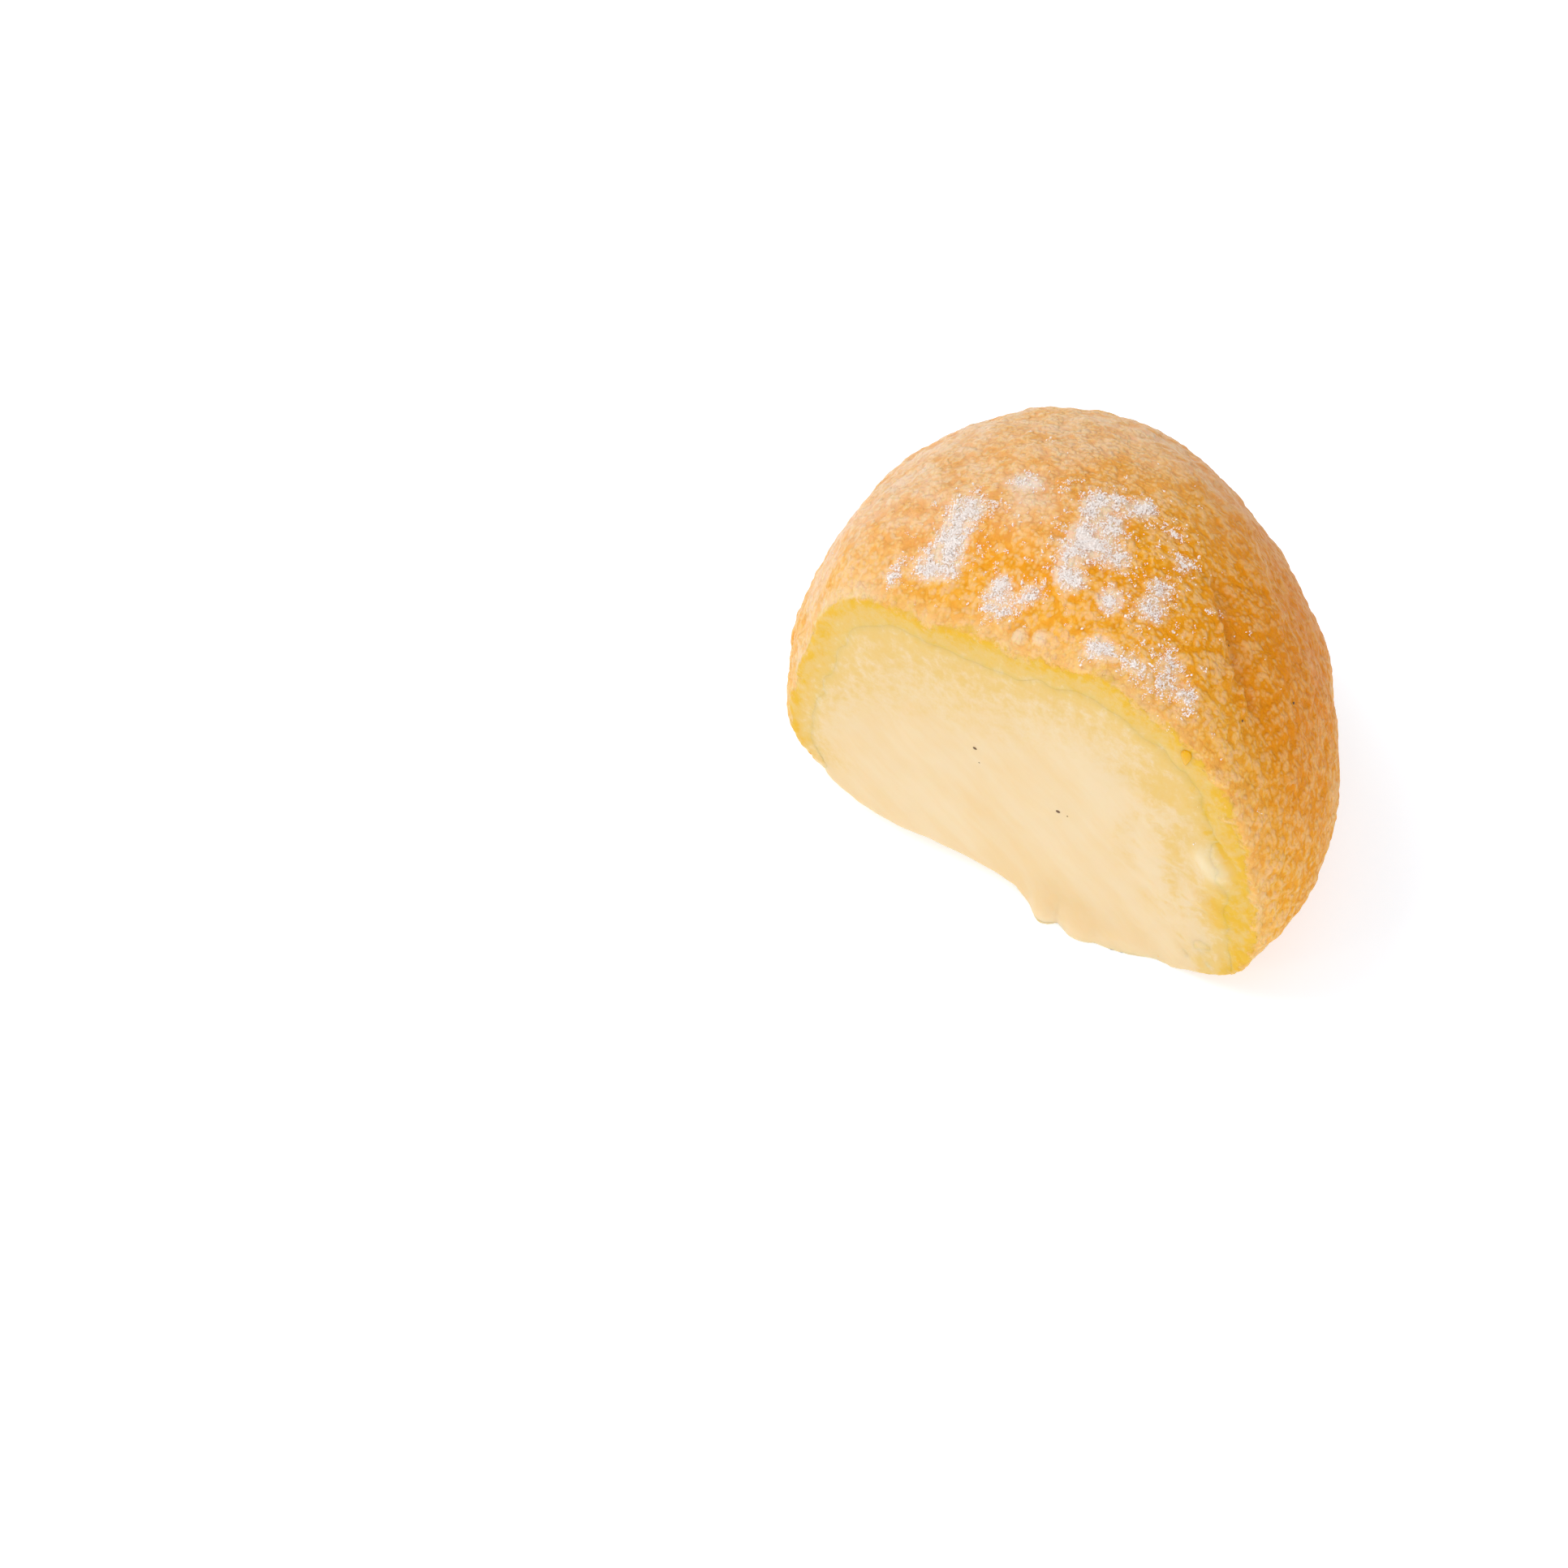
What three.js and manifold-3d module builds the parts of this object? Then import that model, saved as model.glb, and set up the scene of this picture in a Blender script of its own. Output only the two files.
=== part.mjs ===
// A cream-filled bunuelo: a round of fried dough that slumped onto a flat base, filled with cream,
// with a slice taken off one side so that the filling shows.
// Millimetres, +Z up. The cut face looks along -Y, and the origin is on the base, in the middle of the box.

import * as THREE from "three";
import { mergeVertices } from "three/addons/utils/BufferGeometryUtils.js";
import Module from "manifold-3d";

const wasm = await Module();
wasm.setup();

// The whole round, measured from its own upright axis
const BUN_RADIUS = 22.9; // mean reach of the belly
const BUN_HEIGHT = 32.5;
const BELLY_HEIGHT = 8.2; // height at which the round is widest
const BELLY_DROP = 10.4; // how far it would round off below the belly if it had not slumped flat
const OVAL = 0.104; // share by which the belly is longer along one diagonal and shorter across it
const OVAL_AZIMUTH = -38;
const CORNER = 0.035; // share by which the belly has three blunt corners
const CORNER_AZIMUTH = -33;

// Swellings (+) and hollows (-) that frying left in the skin. Each follows a line between two places,
// given as azimuth and climb in degrees, and fades over its spread.
const SKIN_LUMPS = [
  { from: [-45, 44], to: [-36, 42], rise: 1.7, spread: 7 }, // shoulder over the right end of the cut
  { from: [-150, 44], to: [-142, 40], rise: 1.6, spread: 6.5 }, // shoulder over the left end of the cut
  { from: [-112, 56], to: [-88, 58], rise: -1.2, spread: 6 }, // sag along the top of the cut
  { from: [-115, -58], to: [-82, -58], rise: -2.2, spread: 4.5 }, // lifted edge under the cut
  { from: [80, 34], to: [70, 34], rise: -0.8, spread: 7 }, // flatter back
  { from: [44, 10], to: [36, 14], rise: 0.4, spread: 6 }, // fuller right of it
  { from: [176, 22], to: [-176, 22], rise: -0.6, spread: 7 }, // flatter left
  { from: [8, 60], to: [-16, 40], rise: -0.7, spread: 2.4 }, // crease down the right side
  { from: [-48, -42], to: [-34, -36], rise: 0.7, spread: 4 }, // fuller foot at the right of the cut
];

// Ripples all over the skin
const RIPPLE_COUNT = 18;
const RIPPLE_RISE = 0.03;
const RIPPLE_LENGTH = [5, 11]; // shortest and longest, crest to crest
const RIPPLE_SEED = 11;

// Dough between the skin and the cream
const WALL = 2.9;
const BASE_WALL = 0.8;
const WALL_CHANGES = [
  { from: [-32, -10], to: [-36, 40], rise: 2.2, spread: 7 }, // more dough at the right of the cut
  { from: [-142, -30], to: [-48, -50], rise: -2.2, spread: 7 }, // hardly any under the cream at the cut
];
const FIT_GAP = 0.3; // between the dough and the cream

// The cut: an upright, slightly wavy face in front of the axis
const CUT_FROM_AXIS = 11.4;
const CUT_WAVE = 0.16;
const CUT_WAVE_LENGTH = [9, 13]; // across and upward, crest to crest
const CUT_LUMPS = [
  { from: [5, 0.9], to: [9.4, 0.7], rise: 1.0, spread: 1.8 }, // tongue of dough left under the cream
  { from: [15.5, 14.5], to: [18, 13.5], rise: 0.5, spread: 2.4 }, // swelling beside the torn dough
];

// How finely the curved faces are split
const SKIN_DETAIL = 17;
const FILLING_DETAIL = 10;
const CUT_STEP = 1.3;

const CROWN_RISE = BUN_HEIGHT - BELLY_HEIGHT;
const MARGIN = 12; // by which the cutting blocks pass the dough
const MERGE_DISTANCE = 1e-4;
const FULL_TURN = 2 * Math.PI;

function radians(degrees) {
  return THREE.MathUtils.degToRad(degrees);
}

// Reach of the belly at an azimuth.
function bellyReach(azimuth) {
  const oval = OVAL * Math.cos(2 * (azimuth - radians(OVAL_AZIMUTH)));
  const corner = CORNER * Math.cos(3 * (azimuth - radians(CORNER_AZIMUTH)));
  return BUN_RADIUS * (1 + oval + corner);
}

// Reach of the belly and rise of the crown or drop below the belly, in a direction from the belly's middle.
function skinRadii(direction) {
  const reach = bellyReach(Math.atan2(direction.y, direction.x));
  const rise = direction.z > 0 ? CROWN_RISE : BELLY_DROP;
  return new THREE.Vector3(reach, reach, rise);
}

// The point that such radii give in that direction.
function pointOn(radii, direction) {
  const point = direction.clone().multiply(radii);
  point.z += BELLY_HEIGHT;
  return point;
}

// A place on the even skin from its azimuth and climb.
function skinPlace([azimuth, climb]) {
  const flat = Math.cos(radians(climb));
  const direction = new THREE.Vector3(
    flat * Math.cos(radians(azimuth)),
    flat * Math.sin(radians(azimuth)),
    Math.sin(radians(climb)),
  );
  return pointOn(skinRadii(direction), direction);
}

// Lumps as lines in space, with what their two ends say turned into points.
function placeLumps(lumps, place) {
  return lumps.map(({ from, to, rise, spread }) => ({
    line: new THREE.Line3(place(from), place(to)),
    rise,
    spread,
  }));
}

// Sum of what the lumps give at a point.
function lumpSum(lumps, point) {
  const nearest = new THREE.Vector3();
  let sum = 0;
  for (const { line, rise, spread } of lumps) {
    line.closestPointToPoint(point, true, nearest);
    sum += rise * Math.exp(-((nearest.distanceTo(point) / spread) ** 2));
  }
  return sum;
}

// Waves in seeded random directions, each as its wave vector and phase.
function makeRipples() {
  const random = THREE.MathUtils.seededRandom;
  random(RIPPLE_SEED);
  const ripples = [];
  for (let i = 0; i < RIPPLE_COUNT; i += 1) {
    const length = THREE.MathUtils.lerp(...RIPPLE_LENGTH, random());
    const along = new THREE.Vector3(random() - 0.5, random() - 0.5, random() - 0.5);
    along.setLength(FULL_TURN / length);
    ripples.push({ along, phase: FULL_TURN * random() });
  }
  return ripples;
}

const skinLumps = placeLumps(SKIN_LUMPS, skinPlace);
const wallChanges = placeLumps(WALL_CHANGES, skinPlace);
const cutLumps = placeLumps(CUT_LUMPS, ([x, z]) => new THREE.Vector3(x, 0, z));
const ripples = makeRipples();

function rippleSum(point) {
  let sum = 0;
  for (const { along, phase } of ripples) {
    sum += RIPPLE_RISE * Math.sin(along.dot(point) + phase);
  }
  return sum;
}

// The real skin: the even one with its lumps and ripples.
function skinPoint(direction) {
  const radii = skinRadii(direction);
  const point = pointOn(radii, direction);
  const outward = direction.clone().divide(radii).normalize();
  const raised = lumpSum(skinLumps, point) + rippleSum(point);
  return point.addScaledVector(outward, raised);
}

// The face of the hollow for the cream, or of the cream itself with the gap between them taken off.
function fillingPoint(direction, gap) {
  const radii = skinRadii(direction);
  const skin = pointOn(radii, direction);
  const wall = WALL + lumpSum(wallChanges, skin) - lumpSum(skinLumps, skin);
  const point = pointOn(radii.addScalar(-wall - gap), direction);
  point.z = Math.max(point.z, BASE_WALL + gap);
  return point;
}

// How far the cut stands forward of its plane at a place on it.
function cutProud(x, z) {
  const [across, upward] = CUT_WAVE_LENGTH;
  const wave = CUT_WAVE * Math.sin((FULL_TURN * x) / across) * Math.cos((FULL_TURN * z) / upward);
  return wave + lumpSum(cutLumps, new THREE.Vector3(x, 0, z));
}

function solidFrom(geometry) {
  geometry.deleteAttribute("normal");
  geometry.deleteAttribute("uv");
  const merged = mergeVertices(geometry, MERGE_DISTANCE);
  const vertProperties = new Float32Array(merged.attributes.position.array);
  const triVerts = new Uint32Array(merged.index.array);
  return new wasm.Manifold(new wasm.Mesh({ numProp: 3, vertProperties, triVerts }));
}

// A round body whose face in each direction is given by a function.
function roundSolid(detail, pointAt) {
  const geometry = new THREE.IcosahedronGeometry(1, detail);
  const position = geometry.attributes.position;
  const direction = new THREE.Vector3();
  for (let i = 0; i < position.count; i += 1) {
    direction.fromBufferAttribute(position, i).normalize();
    position.setXYZ(i, ...pointAt(direction).toArray());
  }
  return solidFrom(geometry);
}

// All that lies in front of the cut.
function sliceTaken() {
  const width = 2 * (BUN_RADIUS + MARGIN);
  const depth = BUN_RADIUS + MARGIN;
  const height = BUN_HEIGHT + 2 * MARGIN;
  const across = Math.round(width / CUT_STEP);
  const upward = Math.round(height / CUT_STEP);
  const geometry = new THREE.BoxGeometry(width, depth, height, across, 1, upward);
  geometry.translate(0, -CUT_FROM_AXIS - depth / 2, BUN_HEIGHT / 2);
  const position = geometry.attributes.position;
  for (let i = 0; i < position.count; i += 1) {
    const onCut = position.getY(i) > -CUT_FROM_AXIS - depth / 2;
    if (onCut) {
      position.setY(i, -CUT_FROM_AXIS - cutProud(position.getX(i), position.getZ(i)));
    }
  }
  return solidFrom(geometry);
}

// The flat surface that the round slumped onto.
function tableUnder() {
  const width = 2 * (BUN_RADIUS + MARGIN);
  return solidFrom(new THREE.BoxGeometry(width, width, MARGIN).translate(0, 0, -MARGIN / 2));
}

function geometryFrom(solid) {
  const { numProp, vertProperties, triVerts } = solid.getMesh();
  const geometry = new THREE.BufferGeometry();
  geometry.setAttribute("position", new THREE.BufferAttribute(vertProperties, numProp));
  geometry.setIndex(new THREE.BufferAttribute(triVerts, 1));
  geometry.computeVertexNormals();
  return geometry;
}

function namedMesh(name, solid, finish) {
  const mesh = new THREE.Mesh(geometryFrom(solid), new THREE.MeshStandardMaterial(finish));
  mesh.name = name;
  return mesh;
}

const slice = sliceTaken();
const round = roundSolid(SKIN_DETAIL, skinPoint).subtract(tableUnder());
const hollow = roundSolid(FILLING_DETAIL, (direction) => fillingPoint(direction, 0));
const cream = roundSolid(FILLING_DETAIL, (direction) => fillingPoint(direction, FIT_GAP));

const doughShell = namedMesh("dough_shell", round.subtract(hollow).subtract(slice), {
  color: 0xd9963f,
  roughness: 0.55,
  metalness: 0,
});
const creamFilling = namedMesh("cream_filling", cream.subtract(slice), {
  color: 0xf8e2b4,
  roughness: 0.4,
  metalness: 0,
});

// The origin goes to the middle of the bottom of the box round both pieces.
const bunuelo = new THREE.Group().add(doughShell, creamFilling);
const box = new THREE.Box3().setFromObject(bunuelo);
const middle = box.getCenter(new THREE.Vector3());
for (const piece of bunuelo.children) {
  piece.position.set(-middle.x, -middle.y, -box.min.z);
}

export default bunuelo;
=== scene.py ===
"""A cream-filled bunuelo with a slice taken off: fried dough, cream, sugar and a plain stage.

Laid out as an add-on and run as a script. Metres, +Z up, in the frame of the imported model.
"""

import math

import bpy
import numpy as np
from bpy.props import FloatProperty, FloatVectorProperty, IntProperty, PointerProperty
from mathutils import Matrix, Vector, noise
from mathutils.bvhtree import BVHTree
from mathutils.kdtree import KDTree


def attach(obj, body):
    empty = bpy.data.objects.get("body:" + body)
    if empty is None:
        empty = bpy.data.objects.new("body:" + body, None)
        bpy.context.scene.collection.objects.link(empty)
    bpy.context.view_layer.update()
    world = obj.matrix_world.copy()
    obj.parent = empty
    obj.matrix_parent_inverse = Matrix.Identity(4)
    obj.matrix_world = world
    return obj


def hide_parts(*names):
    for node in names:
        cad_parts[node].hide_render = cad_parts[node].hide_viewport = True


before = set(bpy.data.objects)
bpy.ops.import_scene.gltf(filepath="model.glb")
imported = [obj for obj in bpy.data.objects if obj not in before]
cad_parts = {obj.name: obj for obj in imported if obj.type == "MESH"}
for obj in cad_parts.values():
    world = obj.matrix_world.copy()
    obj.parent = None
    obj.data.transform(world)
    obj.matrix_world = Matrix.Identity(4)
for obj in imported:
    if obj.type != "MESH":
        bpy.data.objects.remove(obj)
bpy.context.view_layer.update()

bl_info = {
    "name": "Cream-filled bunuelo",
    "version": (1, 0, 0),
    "blender": (4, 5, 0),
    "location": "3D View > Sidebar > Bunuelo",
    "description": "Dresses the packed bunuelo with browned dough, cut cream, sugar and a stage",
    "category": "Object",
}

MM = 0.001

# The round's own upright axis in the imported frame, and the cut in front of it
ROUND_AXIS = np.array((-0.343, -5.576, 0.0)) * MM
CUT_Y = ROUND_AXIS[1] - 11.4 * MM
FIT_GAP = 0.3 * MM

# Middle of the cut face, across and up from the foot of the axis, and the sectors round it
CUT_MIDDLE = (3.0, 12.0)
SECTORS = 120

# Places on the skin and on the cut, in millimetres from the round's axis
FOLD = ((11.2, 1.4, 28.8), (13.6, -1.2, 27.6), (16.0, -3.6, 26.2), (17.5, -4.1, 24.7))
FOLD_LIP = ((10.6, 0.6, 29.0), (12.8, -2.0, 28.1), (15.2, -4.6, 26.8), (16.8, -5.0, 25.4))
BUBBLES = ((0.9, -10.3, 28.3), (2.5, -10.0, 28.8))
CUT_LUMPS = (
    (((18.4, 15.2), (19.7, 14.4)), 1.0, 0.45),
    (((17.9, 10.2), (18.3, 9.6)), 0.8, 0.35),
    (((11.4, 17.6), (13.2, 18.4)), 1.2, 0.2),
    (((20.0, 9.6), (20.4, 7.6)), 1.0, 0.3),
)
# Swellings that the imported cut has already, in the same terms: a line on the cut, its reach and its rise
CAD_LUMPS = ((((5.0, 0.9), (9.4, 0.7)), 1.8, 1.0), (((15.5, 14.5), (18.0, 13.5)), 2.4, 0.5))
# Lobes along the foot of the cut: middle across, half width, and how far each stands out
FOOT_LOBES = ((5.4, 1.4, 0.8), (8.3, 2.0, 0.7), (12.2, 2.6, 0.5))
FOOT_STEP = 4.2
WET_LUMP = ((18.2, 15.4), (19.6, 14.5))
SLIT = ((18.4, 17.9), (19.4, 16.9), (20.5, 15.4), (21.1, 14.0))
YOLK_DROP = (15.9, -11.7, 24.9)

# Sugar: trails from one place to another seen from above, how far each spreads, and its share of the grains
SUGAR_TRAILS = (
    ((-8.0, -2.2), (-7.5, -4.8), 0.7, 8),
    ((-7.5, -4.8), (-7.9, -6.9), 0.8, 10),
    ((-7.9, -6.9), (-8.7, -8.4), 0.7, 10),
    ((-7.0, -7.9), (-6.4, -8.0), 0.35, 2),
    ((-10.5, -9.2), (-10.8, -9.6), 0.35, 1.5),
    ((-5.6, 0.6), (-4.8, 0.8), 0.5, 2),
    ((0.2, 0.4), (2.0, 2.3), 0.7, 6),
    ((3.0, 1.8), (4.0, 3.4), 0.6, 4),
    ((0.8, 0.0), (3.2, -0.4), 0.6, 6),
    ((1.0, -2.2), (2.6, -2.7), 0.6, 12),
    ((2.6, -2.6), (5.4, -2.4), 0.6, 6),
    ((0.9, -3.6), (1.6, -4.2), 0.5, 4),
    ((1.6, -5.6), (3.1, -5.8), 0.5, 5),
    ((5.7, -5.8), (6.1, -6.1), 0.4, 3),
    ((-2.6, -7.4), (-2.4, -9.0), 0.5, 5),
    ((-1.8, -9.1), (-0.8, -9.3), 0.4, 2),
    ((-0.6, -8.3), (0.9, -7.0), 0.4, 3),
    ((6.2, -9.5), (7.8, -9.1), 0.35, 2.5),
    ((8.6, -9.4), (10.6, -9.2), 0.55, 3),
    ((10.9, -6.8), (12.2, -8.2), 0.7, 3),
    ((11.6, -9.8), (13.0, -8.7), 0.6, 3),
    ((13.6, -8.4), (14.8, -9.4), 0.6, 2.5),
    ((8.2, -2.0), (9.0, -5.8), 0.8, 5),
    ((8.4, 0.5), (8.8, 0.8), 0.35, 2),
    ((5.6, 2.0), (6.8, 2.8), 0.5, 1.5),
    ((17.2, -10.9), (17.5, -11.0), 0.2, 0.4),
    ((-6.0, -3.0), (9.0, -3.0), 4.0, 5),
)

# Dark vanilla specks: across and up the cut, and over the skin, with the length of each
CREAM_SPECKS = ((-1.9, 14.9, 0.38), (-1.5, 13.4, 0.16), (5.6, 12.2, 0.38), (6.4, 12.1, 0.15))
SKIN_SPECKS = (
    (11.7, 8.5, 25.1, 0.26),
    (13.1, -1.0, 28.0, 0.22),
    (14.1, -1.6, 27.3, 0.22),
    (17.7, -6.0, 25.0, 0.24),
    (19.1, -0.4, 22.4, 0.30),
)

WEIGHT_STEPS = 64
# Numbers of the colour sockets of a Mix node
MIX_A, MIX_B, MIX_COLOUR = 6, 7, 2


def linear(hex_colour):
    """The linear colour of an sRGB hex value such as "#e0a040"."""
    shares = [int(hex_colour[i : i + 2], 16) / 255 for i in (1, 3, 5)]
    light = [s / 12.92 if s <= 0.04045 else ((s + 0.055) / 1.055) ** 2.4 for s in shares]
    return (*light, 1.0)


def smooth_step(low, high, values):
    """0 below low, 1 above high and a soft ramp between."""
    share = np.clip((values - low) / (high - low), 0, 1)
    return share * share * (3 - 2 * share)


def in_frame(places):
    """Places given in millimetres from the round's axis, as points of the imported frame."""
    return np.array(places) * MM + ROUND_AXIS


def path_distance(points, path):
    """How far each point is from a line through several places."""
    nearest = np.full(len(points), np.inf)
    for start, end in zip(path[:-1], path[1:]):
        along = end - start
        share = np.clip((points - start) @ along / (along @ along), 0, 1)
        gap = points - start - share[:, None] * along
        nearest = np.minimum(nearest, np.linalg.norm(gap, axis=1))
    return nearest


def choose(piece):
    """Selects this piece alone and makes it active."""
    bpy.ops.object.select_all(action="DESELECT")
    piece.select_set(True)
    bpy.context.view_layer.objects.active = piece


def copy_of_node(node, name):
    """A merged copy of a CAD node's mesh as a new object."""
    piece = bpy.data.objects.new(name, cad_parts[node].data.copy())
    bpy.context.collection.objects.link(piece)
    piece.data.name = name
    piece.data.materials.clear()
    choose(piece)
    bpy.ops.object.mode_set(mode="EDIT")
    bpy.ops.mesh.select_all(action="SELECT")
    bpy.ops.mesh.remove_doubles(threshold=0.001 * MM)
    bpy.ops.object.mode_set(mode="OBJECT")
    return piece


def modify(piece, kind, **settings):
    """Adds a modifier with these settings to the piece and applies it."""
    choose(piece)
    modifier = piece.modifiers.new(kind.title(), kind)
    for name, value in settings.items():
        setattr(modifier, name, value)
    bpy.ops.object.modifier_apply(modifier=modifier.name)


def thin_out(piece, chosen, ratio):
    """Thins the faces whose corners are all among the chosen vertices."""
    mesh = piece.data
    corner = np.empty(len(mesh.loops), int)
    mesh.loops.foreach_get("vertex_index", corner)
    start = np.empty(len(mesh.polygons), int)
    mesh.polygons.foreach_get("loop_start", start)
    flags = np.logical_and.reduceat(chosen[corner], start)
    choose(piece)
    bpy.ops.object.mode_set(mode="EDIT")
    bpy.ops.mesh.select_mode(type="FACE")
    bpy.ops.mesh.select_all(action="DESELECT")
    bpy.ops.object.mode_set(mode="OBJECT")
    mesh.polygons.foreach_set("select", flags)
    bpy.ops.object.mode_set(mode="EDIT")
    bpy.ops.mesh.decimate(ratio=ratio)
    bpy.ops.object.mode_set(mode="OBJECT")


def points_of(piece):
    flat = np.empty(len(piece.data.vertices) * 3)
    piece.data.vertices.foreach_get("co", flat)
    return flat.reshape(-1, 3)


def normals_of(piece):
    flat = np.empty(len(piece.data.vertices) * 3)
    piece.data.vertex_normals.foreach_get("vector", flat)
    return flat.reshape(-1, 3)


def gaps_to_node(points, node):
    """How far each point is from a CAD node's surface."""
    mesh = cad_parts[node].data
    corners = [vertex.co for vertex in mesh.vertices]
    tree = BVHTree.FromPolygons(corners, [face.vertices for face in mesh.polygons])
    return np.array([tree.find_nearest(point)[3] for point in points])


def distances(points, others):
    """How far each point is from the nearest of the others."""
    tree = KDTree(len(others))
    for number, other in enumerate(others):
        tree.insert(other, number)
    tree.balance()
    return np.array([tree.find(point)[2] for point in points])


def ripples(points, width):
    """A smooth random number from -1 to 1 for each point, which changes over this width."""
    return np.array([noise.noise(Vector(point / width)) for point in points])


def around_cut(points):
    """Direction and distance of each point from the middle of the cut, seen from the front."""
    across, _, up = ((points - ROUND_AXIS) / MM).T
    across = across - CUT_MIDDLE[0]
    up = up - CUT_MIDDLE[1]
    return np.arctan2(up, across), np.hypot(across, up)


def outline_reach(points, turns):
    """How far the outline of these points reaches from the middle of the cut in each direction asked for."""
    turn, reach = around_cut(points)
    sector = ((turn / (2 * math.pi) + 0.5) * SECTORS).astype(int) % SECTORS
    outermost = np.zeros(SECTORS)
    np.maximum.at(outermost, sector, reach)
    evened = (np.roll(outermost, 1) + 2 * outermost + np.roll(outermost, -1)) / 4
    middles = ((np.arange(SECTORS) + 0.5) / SECTORS - 0.5) * 2 * math.pi
    return np.interp(turns, middles, evened, period=2 * math.pi)


def yellow_share(points, from_skin):
    """How yellow the cut is: a bright line under the skin, fading inward, with eggy crumb at the right."""
    across, _, up = ((points - ROUND_AXIS) / MM).T
    flat = points * (1, 0, 1)
    inward = np.clip(from_skin / MM + 0.3 * ripples(flat, 0.9 * MM), 0, None)
    foot = smooth_step(7, 3, up) * smooth_step(22, 17, across)
    line = np.exp(-((inward / 0.7) ** 2)) * np.clip(0.5 + 0.8 * ripples(flat, 3.0 * MM), 0.1, 1)
    line *= 0.45 + 0.55 * smooth_step(0, 8, across)
    deep = 2.2 + smooth_step(6, 18, up) + 0.7 * smooth_step(3, 9, across) * smooth_step(17, 21, up)
    fading = 0.95 * np.exp(-((inward / deep) ** 1.2))
    crumb = smooth_step(7, 14, across - 5 * smooth_step(10, 4, up)) * smooth_step(26, 18, up)
    flecks = 0.18 * crumb * smooth_step(-0.4, 0.6, ripples(flat, 2.4 * MM))
    flecks += 0.17 * crumb * smooth_step(0.0, 0.6, ripples(flat, 0.9 * MM))
    sponge = 0.9 * np.exp(-(((across - 20.1) / 1.4) ** 2) - ((up - 9.6) / 2.2) ** 2)
    on_cut = np.column_stack([across, up])
    slit = 1.3 * np.exp(-((path_distance(on_cut, np.array(SLIT)) / 0.2) ** 2))
    tongue = 0.05 * np.exp(-(((across - 6.5) / 3.0) ** 2) - ((up - 1.6) / 1.4) ** 2)
    upper_left = smooth_step(8, 18, up) * smooth_step(12, -2, across)
    soaked = 0.17 * smooth_step(1.5, 5, inward) * smooth_step(14, 8, inward) * upper_left
    return np.clip((line + fading) * (1 - foot) + soaked + flecks + sponge + slit + tongue, 0, 1.5)


def wet_share(points):
    """Where the cut is wet and shines: a swollen lump beside the slit."""
    across, _, up = ((points - ROUND_AXIS) / MM).T
    return np.exp(-((path_distance(np.column_stack([across, up]), np.array(WET_LUMP)) / 1.0) ** 2)) * (points[:, 1] < CUT_Y + 2 * MM) * 0.8


def cad_cut(points):
    """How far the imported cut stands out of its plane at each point: a wave of the knife and two swellings."""
    across, _, up = ((points - ROUND_AXIS) / MM).T
    on_cut = np.column_stack([across, up])
    proud = 0.16 * np.sin(2 * math.pi * across / 9) * np.cos(2 * math.pi * up / 13)
    for path, reach, rise in CAD_LUMPS:
        proud += rise * np.exp(-((path_distance(on_cut, np.array(path)) / reach) ** 2))
    return proud * MM


def cut_relief(points):
    """How far the cut stands out at each point: waves of the knife, crumb, swollen lumps and a slit."""
    across, _, up = ((points - ROUND_AXIS) / MM).T
    flat = points * (1, 0, 1)
    on_cut = np.column_stack([across, up])
    crumb = smooth_step(8, 14, across)
    relief = 0.12 * ripples(flat, 3.0 * MM) + 0.05 * ripples(flat, 1.1 * MM)
    relief += crumb * (0.16 * ripples(flat, 1.4 * MM) + 0.08 * ripples(flat, 0.7 * MM))
    stray = np.column_stack([ripples(flat, 1.5 * MM), ripples(flat + 0.05, 1.5 * MM)]) * 0.35
    for path, reach, rise in CUT_LUMPS:
        relief += rise * np.exp(-((path_distance(on_cut + stray, np.array(path)) / reach) ** 2))
    relief -= 0.14 * np.exp(-((path_distance(on_cut, np.array(SLIT)) / 0.3) ** 2))
    return relief * MM


def foot_forward(points):
    """How far the lobes along the foot of the cut stand out at each point."""
    across, _, up = ((points - ROUND_AXIS) / MM).T
    lobes = np.zeros(len(points))
    for middle, half, rise in FOOT_LOBES:
        lobes = np.maximum(lobes, rise * np.clip(1 - ((across - middle) / half) ** 2, 0, 1) ** 1.5)
    near = smooth_step(3.0, 0.6, (points[:, 1] - CUT_Y) / MM)
    return lobes * near * smooth_step(3.4, 1.2, up) * MM


def foot_down(points):
    """How far the foot of the cut is let down onto the table, right of a step."""
    across, _, up = ((points - ROUND_AXIS) / MM).T
    near = smooth_step(3.0, 0.6, (points[:, 1] - CUT_Y) / MM)
    right = smooth_step(FOOT_STEP - 0.6, FOOT_STEP + 0.6, across) * smooth_step(12, 8, across)
    return 0.8 * right * near * np.clip(up - 0.12, 0, 1.5) * smooth_step(5.5, 2.0, up) * MM


def paint(piece, name, weights):
    """Gives the piece a vertex group with a weight for each vertex."""
    group = piece.vertex_groups.new(name=name)
    steps = np.round(np.clip(weights, 0, 1) * WEIGHT_STEPS).astype(int)
    for step in np.unique(steps[steps > 0]):
        group.add(np.flatnonzero(steps == step).tolist(), step / WEIGHT_STEPS, "REPLACE")


def store(piece, name, values):
    """Keeps a number for each vertex, for the material to read."""
    attribute = piece.data.attributes.get(name)
    if attribute is None:
        attribute = piece.data.attributes.new(name, "FLOAT", "POINT")
    attribute.data.foreach_set("value", np.asarray(values, np.float32))


def raise_group(piece, group, rise):
    """Raises the vertices of a group along their normals."""
    modify(piece, "DISPLACE", strength=rise, mid_level=0.0, vertex_group=group)


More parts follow.
